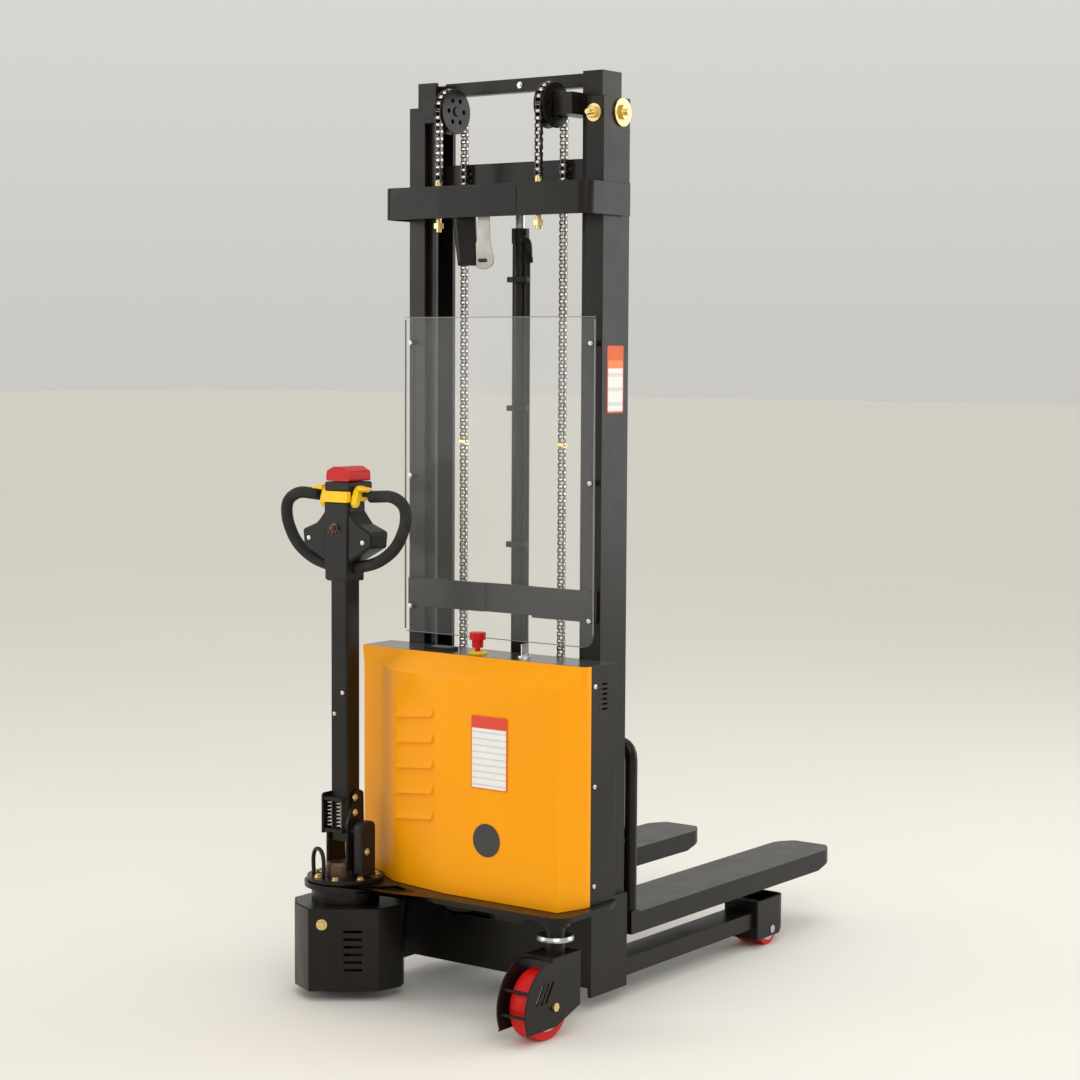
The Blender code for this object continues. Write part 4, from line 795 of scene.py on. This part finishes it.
class STACKER_OT_caster_fittings(bpy.types.Operator):
    """Caster rim, hub and fork details, load roller rims"""
    bl_idname = "stacker.caster_fittings"
    bl_label = "Wheel fittings"

    def execute(self, context):
        c = middle("caster_wheel")
        half = 0.025
        rims = bmesh.new()
        for s in (-1, 1):
            lathe([(0.0205, 0), (0.054, 0), (0.0545, 0.0012), (0.051, 0.0030), (0.030, 0.0036), (0.0205, 0.0050),
                   (0.0205, 0)], (c.x + s * half, c.y, c.z), (s, 0, 0), 40, rims)
        solid("caster_rims", rims, "bright_steel", "caster_roll")
        groove = bmesh.new()
        for x in (-0.012, 0.0, 0.012):
            lathe([(0.0745, x - 0.0012), (0.07535, x), (0.0745, x + 0.0012), (0.0745, x - 0.0012)],
                  (c.x, c.y, c.z), (1, 0, 0), 64, groove)
        solid("caster_tread_lines", groove, "red_poly", "caster_roll")
        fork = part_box("caster_fork")
        stem = Vector((c.x, c.y + 0.057, 0))
        race = bmesh.new()
        lathe([(0.0215, 0), (0.040, 0), (0.041, 0.004), (0.038, 0.010), (0.0215, 0.012), (0.0215, 0)],
              (stem.x, stem.y, fork[1].z - 0.040), (0, 0, 1), 36, race)
        solid("swivel_race", race, "bright_steel", "caster_unit")
        for tag, s in SIDES:
            r = middle("load_roller_" + tag)
            lo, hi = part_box("load_roller_" + tag)
            rim = bmesh.new()
            for q, x in ((-1, lo.x + 0.0022), (1, hi.x - 0.0022)):
                lathe([(0.0165, 0), (0.029, 0), (0.029, 0.0012), (0.0165, 0.0016), (0.0165, 0)],
                      (x, r.y, r.z), (q, 0, 0), 28, rim)
            body = "load_roll_" + ("left" if s < 0 else "right")
            solid("load_rim_" + tag, rim, "bright_steel", body)
        return {"FINISHED"}


class STACKER_OT_studio(bpy.types.Operator):
    """Pale floor, soft lights and the camera"""
    bl_idname = "stacker.studio"
    bl_label = "Studio"

    def execute(self, context):
        bm = bmesh.new()
        bmesh.ops.create_grid(bm, x_segments=1, y_segments=1, size=60.0)
        mesh = bpy.data.meshes.new("studio_floor")
        bm.to_mesh(mesh)
        bm.free()
        floor = bpy.data.objects.new("studio_floor", mesh)
        context.scene.collection.objects.link(floor)
        f = Finish("studio_floor_paint", (0.86, 0.845, 0.80), 0.7)
        f.bsdf.inputs["Specular IOR Level"].default_value = 0.2
        mesh.materials.append(f.done(f.drift(0.8, 0.008), f.noise(3.0, 3), 0.05))
        world = bpy.data.worlds.new("studio_air")
        world.use_nodes = True
        tree = world.node_tree
        split = tree.nodes.new("ShaderNodeSeparateXYZ")
        ramp = tree.nodes.new("ShaderNodeValToRGB")
        ramp.color_ramp.elements[0].position, ramp.color_ramp.elements[1].position = 0.0, 0.22
        ramp.color_ramp.elements[0].color = (0.60, 0.585, 0.55, 1)
        ramp.color_ramp.elements[1].color = (0.74, 0.725, 0.68, 1)
        tree.links.new(tree.nodes.new("ShaderNodeTexCoord").outputs["Generated"], split.inputs["Vector"])
        tree.links.new(split.outputs["Z"], ramp.inputs["Fac"])
        tree.links.new(ramp.outputs["Color"], tree.nodes["Background"].inputs["Color"])
        tree.nodes["Background"].inputs["Strength"].default_value = 1.0
        context.scene.world = world
        for name, power, wide, tall, spot, aim in (
                ("right_softbox", 60, 2.4, 3.0, (3.5, 3.9, 1.9), (0.2, -0.2, 1.2)),
                ("left_softbox", 55, 1.6, 3.0, (-4.3, -4.6, 1.9), (-0.2, -0.4, 1.2)),
                ("key_light", 62, 2.4, 2.4, (3.4, -3.6, 3.8), (0.1, -0.3, 0.8)),
                ("top_light", 42, 3.0, 3.0, (0.4, 0.4, 4.6), (0.0, 0.0, 0.6))):
            lamp = bpy.data.lights.new(name, "AREA")
            lamp.energy, lamp.shape, lamp.size, lamp.size_y = power, "RECTANGLE", wide, tall
            obj = bpy.data.objects.new(name, lamp)
            obj.location = spot
            obj.rotation_euler = (Vector(aim) - Vector(spot)).to_track_quat("-Z", "Y").to_euler()
            obj.visible_camera = False
            context.scene.collection.objects.link(obj)
        camera = bpy.data.objects.new("camera", bpy.data.cameras.new("camera"))
        camera.data.sensor_width, camera.data.lens = 36.0, 79.26
        turn = Matrix.Rotation(math.radians(36.454), 4, "Z") @ Matrix.Rotation(math.radians(90 - 4.538), 4, "X")
        turn = turn @ Matrix.Rotation(math.radians(0.306), 4, "Z")
        camera.matrix_world = Matrix.Translation((3.3275, -4.628, 1.465)) @ turn
        context.scene.collection.objects.link(camera)
        context.scene.camera = camera
        context.scene.view_settings.view_transform = "Standard"
        return {"FINISHED"}


class STACKER_PT_panel(bpy.types.Panel):
    """Sizes, colours and the build steps"""
    bl_label = "Walkie stacker"
    bl_idname = "STACKER_PT_panel"
    bl_space_type = "VIEW_3D"
    bl_region_type = "UI"
    bl_category = "Stacker"

    def draw(self, context):
        for group in (context.scene.stacker_finish, context.scene.stacker_sizes):
            for key in group.__annotations__:
                self.layout.prop(group, key)
        for step in STEPS:
            self.layout.operator(step.bl_idname)


STEPS = (STACKER_OT_finishes, STACKER_OT_chains, STACKER_OT_mast_fittings, STACKER_OT_cover_fittings,
         STACKER_OT_tiller_fittings, STACKER_OT_caster_fittings, STACKER_OT_studio)
CLASSES = (StackerFinish, StackerSizes) + STEPS + (STACKER_PT_panel,)


def register():
    for cls in CLASSES:
        bpy.utils.register_class(cls)
    bpy.types.Scene.stacker_finish = PointerProperty(type=StackerFinish)
    bpy.types.Scene.stacker_sizes = PointerProperty(type=StackerSizes)


def unregister():
    del bpy.types.Scene.stacker_finish
    del bpy.types.Scene.stacker_sizes
    for cls in reversed(CLASSES):
        bpy.utils.unregister_class(cls)


def main():
    register()
    for step in STEPS:
        group, name = step.bl_idname.split(".")
        getattr(getattr(bpy.ops, group), name)()


if __name__ == "__main__":
    main()
